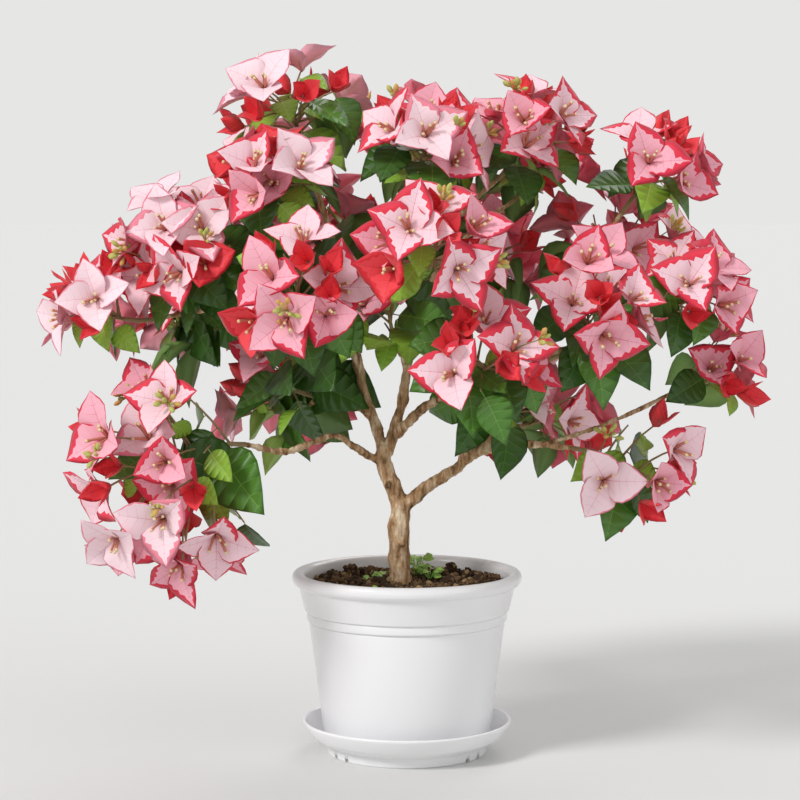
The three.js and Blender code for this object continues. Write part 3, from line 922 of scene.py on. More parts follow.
@dataclass
class Crown:
    """The crown: what grows on from the boughs, each mass in its own cell of space."""

    limbs: dict[str, Limb]
    heart: Point = (0.0, 0.0, 0.300)  # what the masses face away from
    window: Point = (0.0, -1.0, 0.15)  # where the light comes from
    overlap: float = 0.028  # how far a mass may pass its cell's walls
    usual_reach: float = 0.060  # of a mass from its centre
    blossoms_wanted: float = 12.0  # on a mass of that reach
    leafy_blossoms: float = 2.0  # the same, on a leafy mass
    leafy_shoots: float = 5.0
    leafier: float = 1.3  # how many times as many a leafy mass has
    tries: int = 150
    bloom_facing: float = -0.25  # how far from outwards a blooming shoot may go, as a cosine
    shaded_facing: float = -0.85  # the same for a leafy shoot
    closed_until: float = 0.12  # up to which age a blossom is closed
    closed_length: float = 0.72  # how long its bracts are by then
    half_open_until: float = 0.34
    half_open_length: float = 0.92
    three_lobed: float = 0.25  # the share of open blossoms with three bracts and not four
    bract_length: float = 0.0345
    leaf_length: float = 0.068
    stem_radius: float = 0.0021
    twig_radius: float = 0.0011
    twiglet_radius: float = 0.0007
    twig_step: float = 0.018  # how far apart a twig's rings are
    head_gap: float = 0.034  # least distance between the middles of two blossoms of the usual width
    head_half: float = 0.0325  # half that width
    wood_gap: float = 0.013  # least distance from the middle of a blossom to the middle of the wood
    leaf_gap: float = 0.0205  # least distance from a leaf to the middle of a blossom
    leaf_wood_gap: float = 0.006  # least distance from the middle of a leaf to the middle of the wood
    leaf_places: tuple[float, ...] = (0.95, 0.72, 0.5, 0.28)  # where a shoot may carry a leaf
    leaf_tries: int = 7
    tender: float = 0.16  # the share of its leaves that may be the very smallest
    full_aged: float = 0.29  # the share of its leaves of full age; what isn't young or full is old
    budded: float = 0.18  # the share of shoots with a twiglet of buds
    budded_length: float = 0.03  # the least length of such a shoot
    parting: float = 0.0  # where the bracts are parted into a left and a right piece
    cones: tuple[np.ndarray, ...] = ()  # the base, axis, slope and rim of the cone of bracts of every blossom
    wood: np.ndarray = field(init=False)
    blossoms: list[Blossom] = field(default_factory=list)
    blades: list[Blade] = field(default_factory=list)
    shoots: list[Shoot] = field(default_factory=list)
    buds: list[tuple[np.ndarray, np.ndarray, float]] = field(default_factory=list)

    def __post_init__(self) -> None:
        """Notes where the wood runs, so that nothing grows through it."""
        self.wood = np.vstack([limb.route.samples for limb in self.limbs.values()])

    def walls(self, mass: Mass) -> Walls:
        """The walls of a mass's cell.

        Args:
            mass: the mass.

        Returns:
            The direction that each wall faces, and its distance from the mass's centre.
        """
        others = [other for other in MASSES if other is not mass]
        away = np.array([other.at for other in others]) - np.array(mass.at)
        apart = np.linalg.norm(away, axis=1)
        size = np.array([math.prod(other.reach) ** (2 / 3) for other in others])
        own = math.prod(mass.reach) ** (2 / 3)
        return away / apart[:, None], (apart**2 + own - size) / (2 * apart)

    def reach(self, mass: Mass, walls: Walls, direction: np.ndarray) -> float:
        """How far a mass reaches along a direction, its cell's walls counted.

        Args:
            mass: the mass.
            walls: its walls.
            direction: the direction from its centre.

        Returns:
            The distance.
        """
        facing, distance = walls
        towards = facing @ direction
        met = towards > 1e-6
        to_walls = (distance[met] + self.overlap / 2) / towards[met]
        return min([mass.own_reach(direction), *to_walls.tolist()])

    def in_space(self, mass: Mass, walls: Walls, points: np.ndarray) -> bool:
        """Whether points keep to a mass's space.

        Args:
            mass: the mass.
            walls: its walls.
            points: the points.

        Returns:
            True if all of them do.
        """
        facing, distance = walls
        away = points - np.array(mass.at)
        if (away @ facing.T > distance + self.overlap).any():
            return False
        return bool((np.linalg.norm(away / np.array(mass.reach), axis=1) < 1.05).all())

    @staticmethod
    def direction(index: int, chance: Chance) -> np.ndarray:
        """A direction from a series that fills the sphere more and more finely.

        Args:
            index: its place in the series.
            chance: the stream that its small turn is drawn from.

        Returns:
            The direction.
        """
        height = 1 - 2 * ((index * 0.7548776662 + 0.5) % 1)
        ring = math.sqrt(1 - height * height)
        angle = 2 * math.pi * ((index * 0.5698402910 + 0.1 * chance()) % 1)
        return np.array((ring * math.cos(angle), ring * math.sin(angle), height))

    def window_pull(self, outward: np.ndarray, strength: float) -> np.ndarray:
        """How far a mass's growth turns to the window that the bush stands at; its back doesn't see it."""
        return np.array(self.window) * strength * min(max(0.6 - float(outward[1]), 0.0), 1.0)

    def kind(self, chance: Chance, budding: float) -> tuple[int, float, float, float]:
        """What a blossom is like.

        Args:
            chance: the blossom's own stream.
            budding: how many more of the mass's blossoms are still closed.

        Returns:
            How many bracts it has, its spin, its opening and its length.
        """
        age = chance() - budding
        lobes = 3 if chance() < self.three_lobed else 4
        spin = chance() * 2 * math.pi
        if age < self.closed_until:
            return 3, spin, CLOSED, self.bract_length * self.closed_length
        if age < self.half_open_until:
            return 3, spin, HALF_OPEN, self.bract_length * self.half_open_length
        return lobes, spin, OPEN, self.bract_length * (0.95 + 0.12 * chance())

    def grow(self) -> None:
        """Grows every mass: blossoms first, then leafy shoots, then the leaves on every shoot."""
        grown = [self.grow_mass(index, mass) for index, mass in enumerate(MASSES)]
        self.cones = (
            np.array([b.at for b in self.blossoms]),
            np.array([b.axis for b in self.blossoms]),
            np.array([1 / math.tan(b.opening) for b in self.blossoms]),
            np.array([b.length * math.sin(b.opening) for b in self.blossoms]),
        )
        for index, (mass, (shoots, outward, walls)) in enumerate(zip(MASSES, grown)):
            for i, shoot in enumerate(shoots):
                chance = Chance(index * MASS_STREAMS + 2 * self.tries + i)
                self.grow_leaves(chance, mass, walls, shoot, outward)
        counts = (len(self.blossoms), len(self.blades), len(self.shoots))
        LOG.info("crown: %d blossoms, %d leaves, %d shoots", *counts)

    def grow_mass(self, index: int, mass: Mass) -> tuple[list[Route], np.ndarray, Walls]:
        """Grows a mass's stem and shoots.

        Args:
            index: the mass's number.
            mass: the mass.

        Returns:
            Its shoots, its outward direction and its walls.
        """
        centre, walls = np.array(mass.at), self.walls(mass)
        bough = self.limbs[mass.leader or "bough_" + mass.name]
        heading, entry = bough.route.heading(1), bough.route.at(1)
        outward = unit(centre - np.array(self.heart))
        stem_tip = centre + outward * self.reach(mass, walls, outward) * 0.25
        bend = entry + heading * float(np.linalg.norm(stem_tip - entry)) * 0.4
        stem = Route.arched(entry, bend, stem_tip)
        self.shoots.append(Shoot(stem, self.stem_radius, False))
        grown: list[Route] = []
        scale = mass.full * (mass.size / self.usual_reach) ** 2
        for blooms in (True, False):
            if blooms:
                left = round((self.leafy_blossoms if mass.leafy else self.blossoms_wanted) * scale)
            else:
                left = round(self.leafy_shoots * (self.leafier if mass.leafy else 1) * scale)
            for i in range(self.tries):
                if left <= 0:
                    break
                chance = Chance(index * MASS_STREAMS + i + (0 if blooms else SHADED_STREAMS))
                direction = self.direction(i, chance)
                facing = float(direction @ outward)
                low, high = (self.bloom_facing, 1) if blooms else (self.shaded_facing, 0.8)
                under = blooms and direction[2] < -0.5 and not mass.hanging
                if not low <= facing <= high or under:
                    continue
                shoot = self.grow_shoot(chance, mass, walls, stem, outward, direction, facing, blooms)
                if shoot is not None:
                    grown.append(shoot)
                    left -= 1
        return grown, outward, walls

    def grow_shoot(
        self,
        chance: Chance,
        mass: Mass,
        walls: Walls,
        stem: Route,
        outward: np.ndarray,
        direction: np.ndarray,
        facing: float,
        blooms: bool,
    ) -> Route | None:
        """Grows a shoot from a mass's stem, with a blossom on its end if it blooms.

        Args:
            chance: the shoot's own stream.
            mass: the mass.
            walls: its walls.
            stem: its stem.
            outward: where the mass faces.
            direction: where the shoot goes.
            facing: how far that is outwards.
            blooms: whether it blooms.

        Returns:
            The shoot, or nothing where there is no room for it.
        """
        lobes, spin, opening, length = self.kind(chance, mass.budding)
        headroom = length * math.cos(opening) + 0.002 if blooms else self.leaf_length * 0.45
        centre = np.array(mass.at)
        stretch = 1.0
        while stretch > 0.5:
            nudge = np.array((chance() - 0.5, chance() - 0.5, chance() - 0.5))
            face = unit(direction * 0.8 + outward * 0.4 + nudge * 0.8 + self.window_pull(outward, 0.6))
            leave = stem.at(min(max(0.55 + 0.3 * facing + 0.6 * (chance() - 0.5), 0.1), 0.97))
            tip = centre + direction * (self.reach(mass, walls, direction) * stretch - headroom)
            span = float(np.linalg.norm(tip - leave))
            if span < 0.012:
                return None
            stretch -= 0.06
            if blooms and not self.room_for_head(mass, walls, tip, face, opening, length):
                continue
            shoot = Route.arched(leave, (leave + tip) / 2 + UP * span * 0.12, tip)
            self.shoots.append(Shoot(shoot, self.twig_radius, False))
            if blooms:
                tint = self.tint(mass, opening, chance)
                self.blossoms.append(Blossom(tip, face, lobes, spin, opening, length, tint))
            return shoot
        return None

    def room_for_head(
        self, mass: Mass, walls: Walls, tip: np.ndarray, face: np.ndarray, opening: float, length: float
    ) -> bool:
        """Whether a blossom keeps to its mass's space and clear of other blossoms and of the wood.

        Args:
            mass: the mass.
            walls: its walls.
            tip: the tip of the shoot, where the blossom would sit.
            face: where it would face.
            opening: how far its bracts lean out.
            length: how long they are.

        Returns:
            True if it does.
        """
        middle = tip + face * length * math.cos(opening) * 0.6
        across = unit(np.cross(face, beside(face)))
        over = np.cross(face, across)
        wide, high = math.sin(opening) * length, math.cos(opening) * length
        turns = np.linspace(0, 2 * math.pi, 7)[:-1]
        rim = tip + face * high
        ring = np.array([rim + wide * (math.cos(a) * across + math.sin(a) * over) for a in turns])
        if not self.in_space(mass, walls, ring * 0.92 + tip * 0.08):
            return False
        if self.blossoms:
            middles = np.array([b.at + b.axis * b.length * math.cos(b.opening) * 0.6 for b in self.blossoms])
            widths = np.array([math.sin(b.opening) * b.length for b in self.blossoms])
            gap = (wide + widths) * self.head_gap * mass.crowding / (2 * self.head_half)
            if (np.linalg.norm(middles - middle, axis=1) < gap).any():
                return False
        return bool(np.linalg.norm(self.wood - middle, axis=1).min() > self.wood_gap)

    @staticmethod
    def tint(mass: Mass, opening: float, chance: Chance) -> Bract:
        """A blossom's colour: closed ones are red, and open ones take their mass's tints.

        Args:
            mass: the mass.
            opening: how far the blossom is open.
            chance: its own stream.

        Returns:
            The colour.
        """
        draw = chance()
        if opening == CLOSED:
            return Bract.RED
        if opening == HALF_OPEN:
            return Bract.RED if draw < 0.25 else Bract.DEEP if draw < 0.5 else mass.tints[-1]
        return mass.tints[int(draw * len(mass.tints))]

    def grow_leaves(
        self, chance: Chance, mass: Mass, walls: Walls, shoot: Route, outward: np.ndarray
    ) -> None:
        """Grows the leaves of a shoot, spaced along it, and now and then a twiglet with buds.

        Args:
            chance: the shoot's own stream.
            mass: the mass.
            walls: its walls.
            shoot: the shoot.
            outward: where the mass faces.
        """
        for place in self.leaf_places:
            for _ in range(self.leaf_tries):
                blade = self.leaf(chance, mass, shoot, place, outward)
                middle = blade.root + blade.along * blade.length * 0.5
                tip = blade.root + blade.along * blade.length
                if not self.in_space(mass, walls, np.array((middle, tip))):
                    continue
                if not self.clear_of_heads(blade, mass) or self.cuts_bracts(blade):
                    continue
                self.blades.append(blade)
                break
        if chance() < self.budded and shoot.length > self.budded_length:
            self.grow_buds(chance, shoot, outward)

    def leaf(self, chance: Chance, mass: Mass, shoot: Route, place: float, outward: np.ndarray) -> Blade:
        """A leaf: it stands out from its shoot and hangs a little, with its upper face outwards and up.

        Args:
            chance: the shoot's own stream.
            mass: the mass.
            shoot: the shoot.
            place: where on the shoot it stands, as a share of the shoot's length.
            outward: where the mass faces.

        Returns:
            The leaf.
        """
        turn = chance() * 2 * math.pi
        on = shoot.heading(place)
        across = unit(np.cross(on, UP))
        over = np.cross(across, on)
        aside = on * 0.45 + across * math.cos(turn) * 1.05 + over * math.sin(turn) * 0.5
        along = unit(aside - UP * 0.7 + outward * 0.2)
        face = UP * 0.45 + outward * 0.7 + self.window_pull(outward, 0.6)
        face = unit(face - along * float(face @ along))
        draw = chance()
        length = self.leaf_length * (0.58 + 0.55 * chance())
        if draw < mass.young:
            length *= 0.55 if draw < self.tender else 0.7
            return Blade(shoot.at(place), along, face, length, Leaf.YOUNG)
        age = Leaf.FULL if draw < mass.young + self.full_aged else Leaf.OLD
        return Blade(shoot.at(place), along, face, length, age)

    def clear_of_heads(self, blade: Blade, mass: Mass) -> bool:
        """Whether a leaf stays clear of every blossom's cup, of other leaves' middles and of the wood.

        Args:
            blade: the leaf.
            mass: the mass.

        Returns:
            True if it does.
        """
        middle = blade.root + blade.along * blade.length * 0.55
        heads = np.array([b.at + b.axis * b.length * math.cos(b.opening) * 0.8 for b in self.blossoms])
        across = np.cross(blade.along, blade.face)
        for share, aside in ((0.35, 0), (0.68, 0), (1, 0), (0.5, 0.3), (0.5, -0.3)):
            step = blade.along * share + across * aside
            if np.linalg.norm(heads - blade.root - step * blade.length, axis=1).min() < self.leaf_gap:
                return False
        if self.blades:
            others = np.array([b.root + b.along * b.length * 0.55 for b in self.blades[-400:]])
            if np.linalg.norm(others - middle, axis=1).min() < mass.leaf_spacing:
                return False
        return bool(np.linalg.norm(self.wood - middle, axis=1).min() > self.leaf_wood_gap)

    def cuts_bracts(self, blade: Blade) -> bool:
        """Whether a leaf's rib or either edge passes through the cone that a blossom's bracts lie on.

        Args:
            blade: the leaf.

        Returns:
            True if it does, or if it comes within a bract's waves of one.
        """
        bases, axes, slopes, rims = self.cones
        steps = np.linspace(0.2, 1, 9)
        rib = blade.root + blade.along * blade.length * steps[:, None]
        half = np.cross(blade.along, blade.face) * blade.length * 0.27
        for edge in (-1, 0, 1):
            points = rib + half * (edge * np.sin(np.pi * steps**0.8))[:, None]
            away = points[:, None] - bases
            rise = (away * axes).sum(axis=2)
            out = np.sqrt(np.maximum((away**2).sum(axis=2) - rise**2, 0))
            over, near = rise - out * slopes, out < rims
            crossed = (over[1:] * over[:-1] < 0) & near[1:] & near[:-1]
            touching = (np.abs(over) < 0.0015) & near & (out > 0.006)
            if crossed.any() or touching.any():
                return True
        return False

    def grow_buds(self, chance: Chance, shoot: Route, outward: np.ndarray) -> None:
        """Grows a twiglet with a cluster of buds.

        Args:
            chance: the shoot's own stream.
            shoot: the shoot that it leaves from.
            outward: where the mass faces.
        """
        root = shoot.at(0.8)
        nudge = np.array((chance() - 0.5, chance() - 0.5, chance() - 0.5))
        heading = unit(shoot.heading(0.8) + outward * 0.5 + UP * 0.5 + nudge * 1.6)
        tip = root + heading * (0.018 + 0.014 * chance())
        twiglet = Route.arched(root, (root + tip) / 2 + UP * 0.002, tip)
        self.shoots.append(Shoot(twiglet, self.twiglet_radius, True))
        for _ in range(6 + int(chance() * 5)):
            spread = np.array((chance() - 0.5, chance() - 0.5, chance() - 0.5))
            pointing = unit(heading + spread * 1.8)
            self.buds.append((tip, pointing, 0.6 + 0.5 * chance()))

    def build(self) -> None:
        """Builds the crown: one joined piece of each kind of thing, in halves where it is large."""
        nodes = ["foliage_" + mass.name for mass in MASSES]
        self.build_twigs(nodes)
        self.build_leaves(nodes)
        self.build_blossoms(nodes)
        self.build_buds()

    def build_twigs(self, nodes: Sequence[str]) -> None:
        """Builds the stems and twigs, and stands them for the masses' solids.

        Args:
            nodes: the masses' solids.
        """
        twigs = Joined("twigs", list(TWIG_SKINS))
        for shoot in self.shoots:
            count = 3 + int(shoot.route.length / self.twig_step)
            radii = [shoot.radius * (1 - 0.4 * i / (count - 1)) for i in range(count)]
            twig = tube(shoot.route.spaced(count), radii, 5)
            twigs.add(twig, np.eye(3), np.zeros(3), first=0 if shoot.green else 1)
        twigs.made("foliage", *nodes)

    def build_leaves(self, nodes: Sequence[str]) -> None:
        """Builds the leaves, and stands them for the masses' solids.

        Args:
            nodes: the masses' solids.
        """
        ages = list(Leaf)
        skins = [finish for age in ages for finish in age.finishes()]
        leaves = Joined("leaves", skins)
        patterns = [LeafPattern().shape(Chance(LEAF_SHAPE_STREAMS + i)) for i in range(5)]
        for i, blade in enumerate(self.blades):
            axes = axes_for(blade.along, blade.face)
            first = len(skins) // len(ages) * ages.index(blade.age)
            leaves.add(patterns[i % len(patterns)], axes, blade.root, blade.length, first)
        leaves.made("foliage", *nodes)

    def build_blossoms(self, nodes: Sequence[str]) -> None:
        """Builds the bracts and the flower tubes in them, and stands the bracts for the masses' solids.

        Args:
            nodes: the masses' solids.
        """
        tints = list(Bract)
        skins = [finish for tint in tints for finish in tint.finishes()]
        halves = {left: Joined("bracts_left" if left else "bracts_right", skins) for left in (True, False)}
        tubes = Joined("flower_tubes", list(TUBE_SKINS))
        patterns = self.bract_patterns()
        flower = FlowerTube().shape()
        for i, blossom in enumerate(self.blossoms):
            chance = Chance(BLOSSOM_STREAMS + i)
            axis = blossom.axis
            across = unit(np.cross(beside(axis), axis))
            over = np.cross(axis, across)
            base = blossom.at - axis * 0.0015
            half = halves[bool(blossom.at[0] < self.parting)]
            first = len(skins) // len(tints) * tints.index(blossom.tint)
            for lobe in range(blossom.lobes):
                angle = blossom.spin + 2 * math.pi * lobe / blossom.lobes + 0.2 * (chance() - 0.5)
                out = across * math.cos(angle) + over * math.sin(angle)
                stain = Stain.drawn(chance(), blossom.tint is Bract.WASHED)
                choice = patterns[blossom.opening, stain, blossom.lobes]
                bract = choice[int(chance() * len(choice))]
                lift = axis * (lobe % 2) * 0.0007
                scale = blossom.length * (0.93 + 0.14 * chance())
                half.add(bract, axes_for(out, axis), base + lift, scale, first)
            if blossom.opening == CLOSED:
                continue
            for _ in range(4 + int(chance() * 2)):
                lean = across * (chance() - 0.5) + over * (chance() - 0.5)
                tubes.add(flower, axes_for(unit(axis + lean), across), base, 0.85 + 0.35 * chance())
        for half in halves.values():
            half.made("foliage", *nodes)
        tubes.made("foliage")

    @staticmethod
    def bract_patterns() -> dict[tuple[float, "Stain", int], list[Shape]]:
        """Makes the bracts to choose from: three fill more of a ring than four, and a closed one is slim.

        Returns:
            Four bracts for each opening, stain and number of bracts.
        """
        patterns = {}
        for opening in (CLOSED, HALF_OPEN, OPEN):
            for stain in Stain:
                for lobes in (3, 4):
                    wide = 0.8 if opening == CLOSED else 1.12 if lobes == 3 else 1.0
                    pattern = BractPattern(opening, stain, wide)
                    streams = [Chance(BRACT_SHAPE_STREAMS + i) for i in range(4)]
                    patterns[opening, stain, lobes] = [pattern.shape(chance) for chance in streams]
        return patterns

    def build_buds(self) -> None:
        """Builds the buds on their stalks."""
        buds = Joined("buds", list(BUD_SKINS))
        shapes = [Bud().shape(i) for i in range(2)]
        for i, (root, pointing, size) in enumerate(self.buds):
            buds.add(shapes[i % 3 == 0], axes_for(pointing, beside(pointing)), root, size)
        buds.made("foliage")


@dataclass(frozen=True)
class Outline:
    """The half width of a blade along its length, both as shares of its length."""

    shares: tuple[float, ...]
    widths: tuple[float, ...]

    @property
    def stretches(self) -> int:
        """How many stretches the edge has."""
        return len(self.shares) - 1

    def veins(self, slant: float) -> list[tuple[float, float, float]]:
        """The side veins, each from the rib to the edge.

        Args:
            slant: how far a vein leans to the tip.

        Returns:
            For each vein, its share of the length at the rib and at the edge, and the half width there.
        """
        return [(max(0.0, e - slant * math.sin(math.pi * e)), e, w) for e, w in zip(self.shares, self.widths)]


@dataclass
class Sheet:
    """The corners and faces of a blade while it is drawn."""

    corners: list[Point] = field(default_factory=list)
    faces: list[tuple[int, ...]] = field(default_factory=list)
    finish: list[int] = field(default_factory=list)

    def corner(self, x: float, y: float, z: float) -> int:
        """Adds a corner and gives its number."""
        self.corners.append((x, y, z))
        return len(self.corners) - 1

    def face(self, loop: Sequence[int], finish: int, turn: bool = False) -> None:
        """Adds a face, without the corners that fall together at a blade's root or tip.

        Args:
            loop: its corners.
            finish: its finish.
            turn: whether it is turned over.
        """
        kept = tuple(dict.fromkeys(loop))
        if len(kept) > 2:
            self.faces.append(kept[::-1] if turn else kept)
            self.finish.append(finish)

    def back_face(self, a: int, b: int, c: int, d: int, finish: int, side: int) -> None:
        """Adds a face of the back, begun where its diagonal bows away from the front.

        Args:
            a: its corner on the outer row, nearer the root.
            b: its corner on the outer row, nearer the tip.
            c: its corner on the inner row, nearer the tip.
            d: its corner on the inner row, nearer the root.
            finish: its finish.
            side: -1 on the left half and 1 on the right.
        """
        self.face((b, c, d, a) if side < 0 else (d, c, b, a), finish)

    def rib(self, left: list[tuple[int, int]], right: list[tuple[int, int]], finish: int) -> None:
        """Adds the rib between the veins of both halves.

        Args:
            left: the two corners where each vein of the left half leaves the rib, from root to tip.
            right: the same for the right half.
            finish: its finish.
        """
        for (a, b), (c, _), (d, e), (f, _) in zip(left, left[1:], right, right[1:]):
            self.face((a, d, e, f, c, b), finish)

    def shape(self) -> Shape:
        """The finished blade."""
        return Shape(np.array(self.corners), tuple(self.faces), tuple(self.finish))


class Stain(Enum):
    """How far a bract is stained.

    Each says what share of the half width stays clean low down and at the tip, and how far the teeth run in.
    """

    THIN = (0.97, 0.84, 0.06)
    EDGED = (0.95, 0.34, 0.30)
    FLAMED = (0.86, 0.12, 0.38)

    @classmethod
    def drawn(cls, draw: float, washed: bool) -> "Stain":
        """Draws how far a bract is stained.

        Args:
            draw: a number from 0 to 1.
            washed: whether its blossom is a washed one, which is stained less.

        Returns:
            The stain.
        """
        if washed:
            return cls.THIN if draw < 0.7 else cls.EDGED
        return cls.THIN if draw < 0.42 else cls.EDGED if draw < 0.8 else cls.FLAMED


@dataclass(frozen=True)
class BractPattern:
    """A bract, one unit long: papery, cupped at its root, pointed, its margin stained in along its veins."""

    opening: float
    stain: Stain
    wide: float = 1.0
    thickness: float = 0.03  # at its middle; the edges are sharp
    rib: float = 0.008  # half its width
    vein: float = 0.003
    rib_lift: float = 0.001  # how far the rib and the veins stand above the sheet
    tooth_lift: float = 0.003
    slant: float = 0.13  # how far the veins lean to the tip
    plain: int = 2  # how many stretches at its root have no stained margin
    outline: Outline = Outline(
        (0.0, 0.075, 0.19, 0.335, 0.49, 0.64, 0.78, 0.9, 1.0),
        (0.0, 0.14, 0.28, 0.375, 0.39, 0.325, 0.215, 0.092, 0.0),
    )

    def shape(self, chance: Chance) -> Shape:
        """Makes the bract.

        Args:
            chance: the stream that its margin and ruffle are drawn from.

        Returns:
            The bract: Y runs out from the blossom's axis and Z along it.
        """
        sheet = Sheet()
        line, normals = self.spine(0.5 * chance())
        steps = np.linspace(0, 1, len(line))
        ruffle, swell = chance() * 6.28, 0.12 + 0.2 * chance()
        count = self.outline.stretches
        clean, clean_tip, teeth = self.stain.value

        def lifted(side: int, root: float, edge: float, width: float, f: float, rise: float = 0.0) -> int:
            """Adds a corner on a vein, raised by the cup and the ruffle.

            Args:
                side: -1 on the left half and 1 on the right.
                root: the vein's share of the length at the rib.
                edge: its share of the length at the edge.
                width: the half width at its end.
                f: how far out on the vein the corner is.
                rise: how far it stands above the sheet.

            Returns:
                The corner's number.
            """
            share = root + (edge - root) * f
            cup = (0.42 * (1 - edge) + 0.05) * width * f
            wave = swell * math.sin(ruffle + side * 1.4 + 4 * edge) * math.sin(math.pi * edge) * width * f
            at = [float(np.interp(share, steps, line[:, k])) for k in range(2)]
            normal = [float(np.interp(share, steps, normals[:, k])) for k in range(2)]
            lift = cup + wave + rise
            return sheet.corner(side * width * f, at[0] + normal[0] * lift, at[1] + normal[1] * lift)

        veins = [(root, edge, width * self.wide) for root, edge, width in self.outline.veins(self.slant)]
        root_corner, tip_corner = sheet.corner(0.0, *line[0]), sheet.corner(0.0, *line[-1])
        keel = [root_corner, *(lifted(1, *vein, 0.0, -self.thickness) for vein in veins[1:-1]), tip_corner]
        ribs: dict[int, list[tuple[int, int]]] = {}
        for side in (-1, 1):
            edges, stains, tooth_tips = [root_corner], [root_corner], []
            ribs[side] = [(root_corner, root_corner)]
            for k, (root, edge, width) in enumerate(veins):
                towards_tip = min(max((edge - 0.3) / 0.6, 0.0), 1.0)
                inner = clean + (clean_tip - clean) * towards_tip**1.5 + 0.04 * (chance() - 0.5)
                if 0 < k < count:
                    edges.append(lifted(side, root, edge, width, 1.0))
                    stains.append(lifted(side, root, edge, width, inner) if k >= self.plain else edges[-1])
                    slim = min(self.rib * (1.2 - edge) / width, inner * 0.5)
                    low, high = (
                        lifted(side, root + step, edge + step, width, slim, self.rib_lift)
                        for step in (-self.vein, self.vein)
                    )
                    ribs[side].append((low, high))
                if k < count:
                    root2, edge2, width2 = ((a + b) / 2 for a, b in zip(veins[k], veins[k + 1]))
                    deep = max(0.12, inner - teeth * (0.4 + 1.0 * chance()) * (0.35 + 0.8 * towards_tip))
                    if k >= self.plain:
                        tooth_tips.append(lifted(side, root2, edge2, width2, deep, self.tooth_lift))
                    else:
                        tooth_tips.append(stains[k])
            edges.append(tip_corner)
            stains.append(tip_corner)
            ribs[side].append((tip_corner, tip_corner))
            for k in range(count):
                (low, high), (next_low, _) = ribs[side][k], ribs[side][k + 1]
                sheet.face((edges[k], stains[k], tooth_tips[k], stains[k + 1], edges[k + 1]), 1, side > 0)
                sheet.face((stains[k], high, next_low, stains[k + 1], tooth_tips[k]), 0, side > 0)
                sheet.face((low, high, stains[k]), 3, side > 0)
                sheet.back_face(edges[k], edges[k + 1], keel[k + 1], keel[k], 2, side)
        sheet.rib(ribs[-1], ribs[1], 3)
        return sheet.shape()

    def spine(self, curl: float) -> tuple[np.ndarray, np.ndarray]:
        """The bract's middle line.

        Args:
            curl: how much further its tip rolls back.

        Returns:
            The line, out from the axis and along it, and its inner normals.
        """
        steps = 24
        s = np.linspace(0, 1, steps)
        turns = (1.7, 1.3, 0.5, 1.5) if self.opening == CLOSED else (0.4, 0.9, 1.05, 1.15 + curl)
        bend = np.interp(s, (0, 0.3, 0.7, 1), turns) * self.opening
        run = np.stack((np.sin(bend), np.cos(bend)), 1) / (steps - 1)
        line = np.vstack((np.zeros(2), np.cumsum(run[:-1], 0)))
        line *= 1 / np.linalg.norm(line[-1])
        line[:, 0] += 0.02
        return line, np.stack((-np.cos(bend), np.sin(bend)), 1)


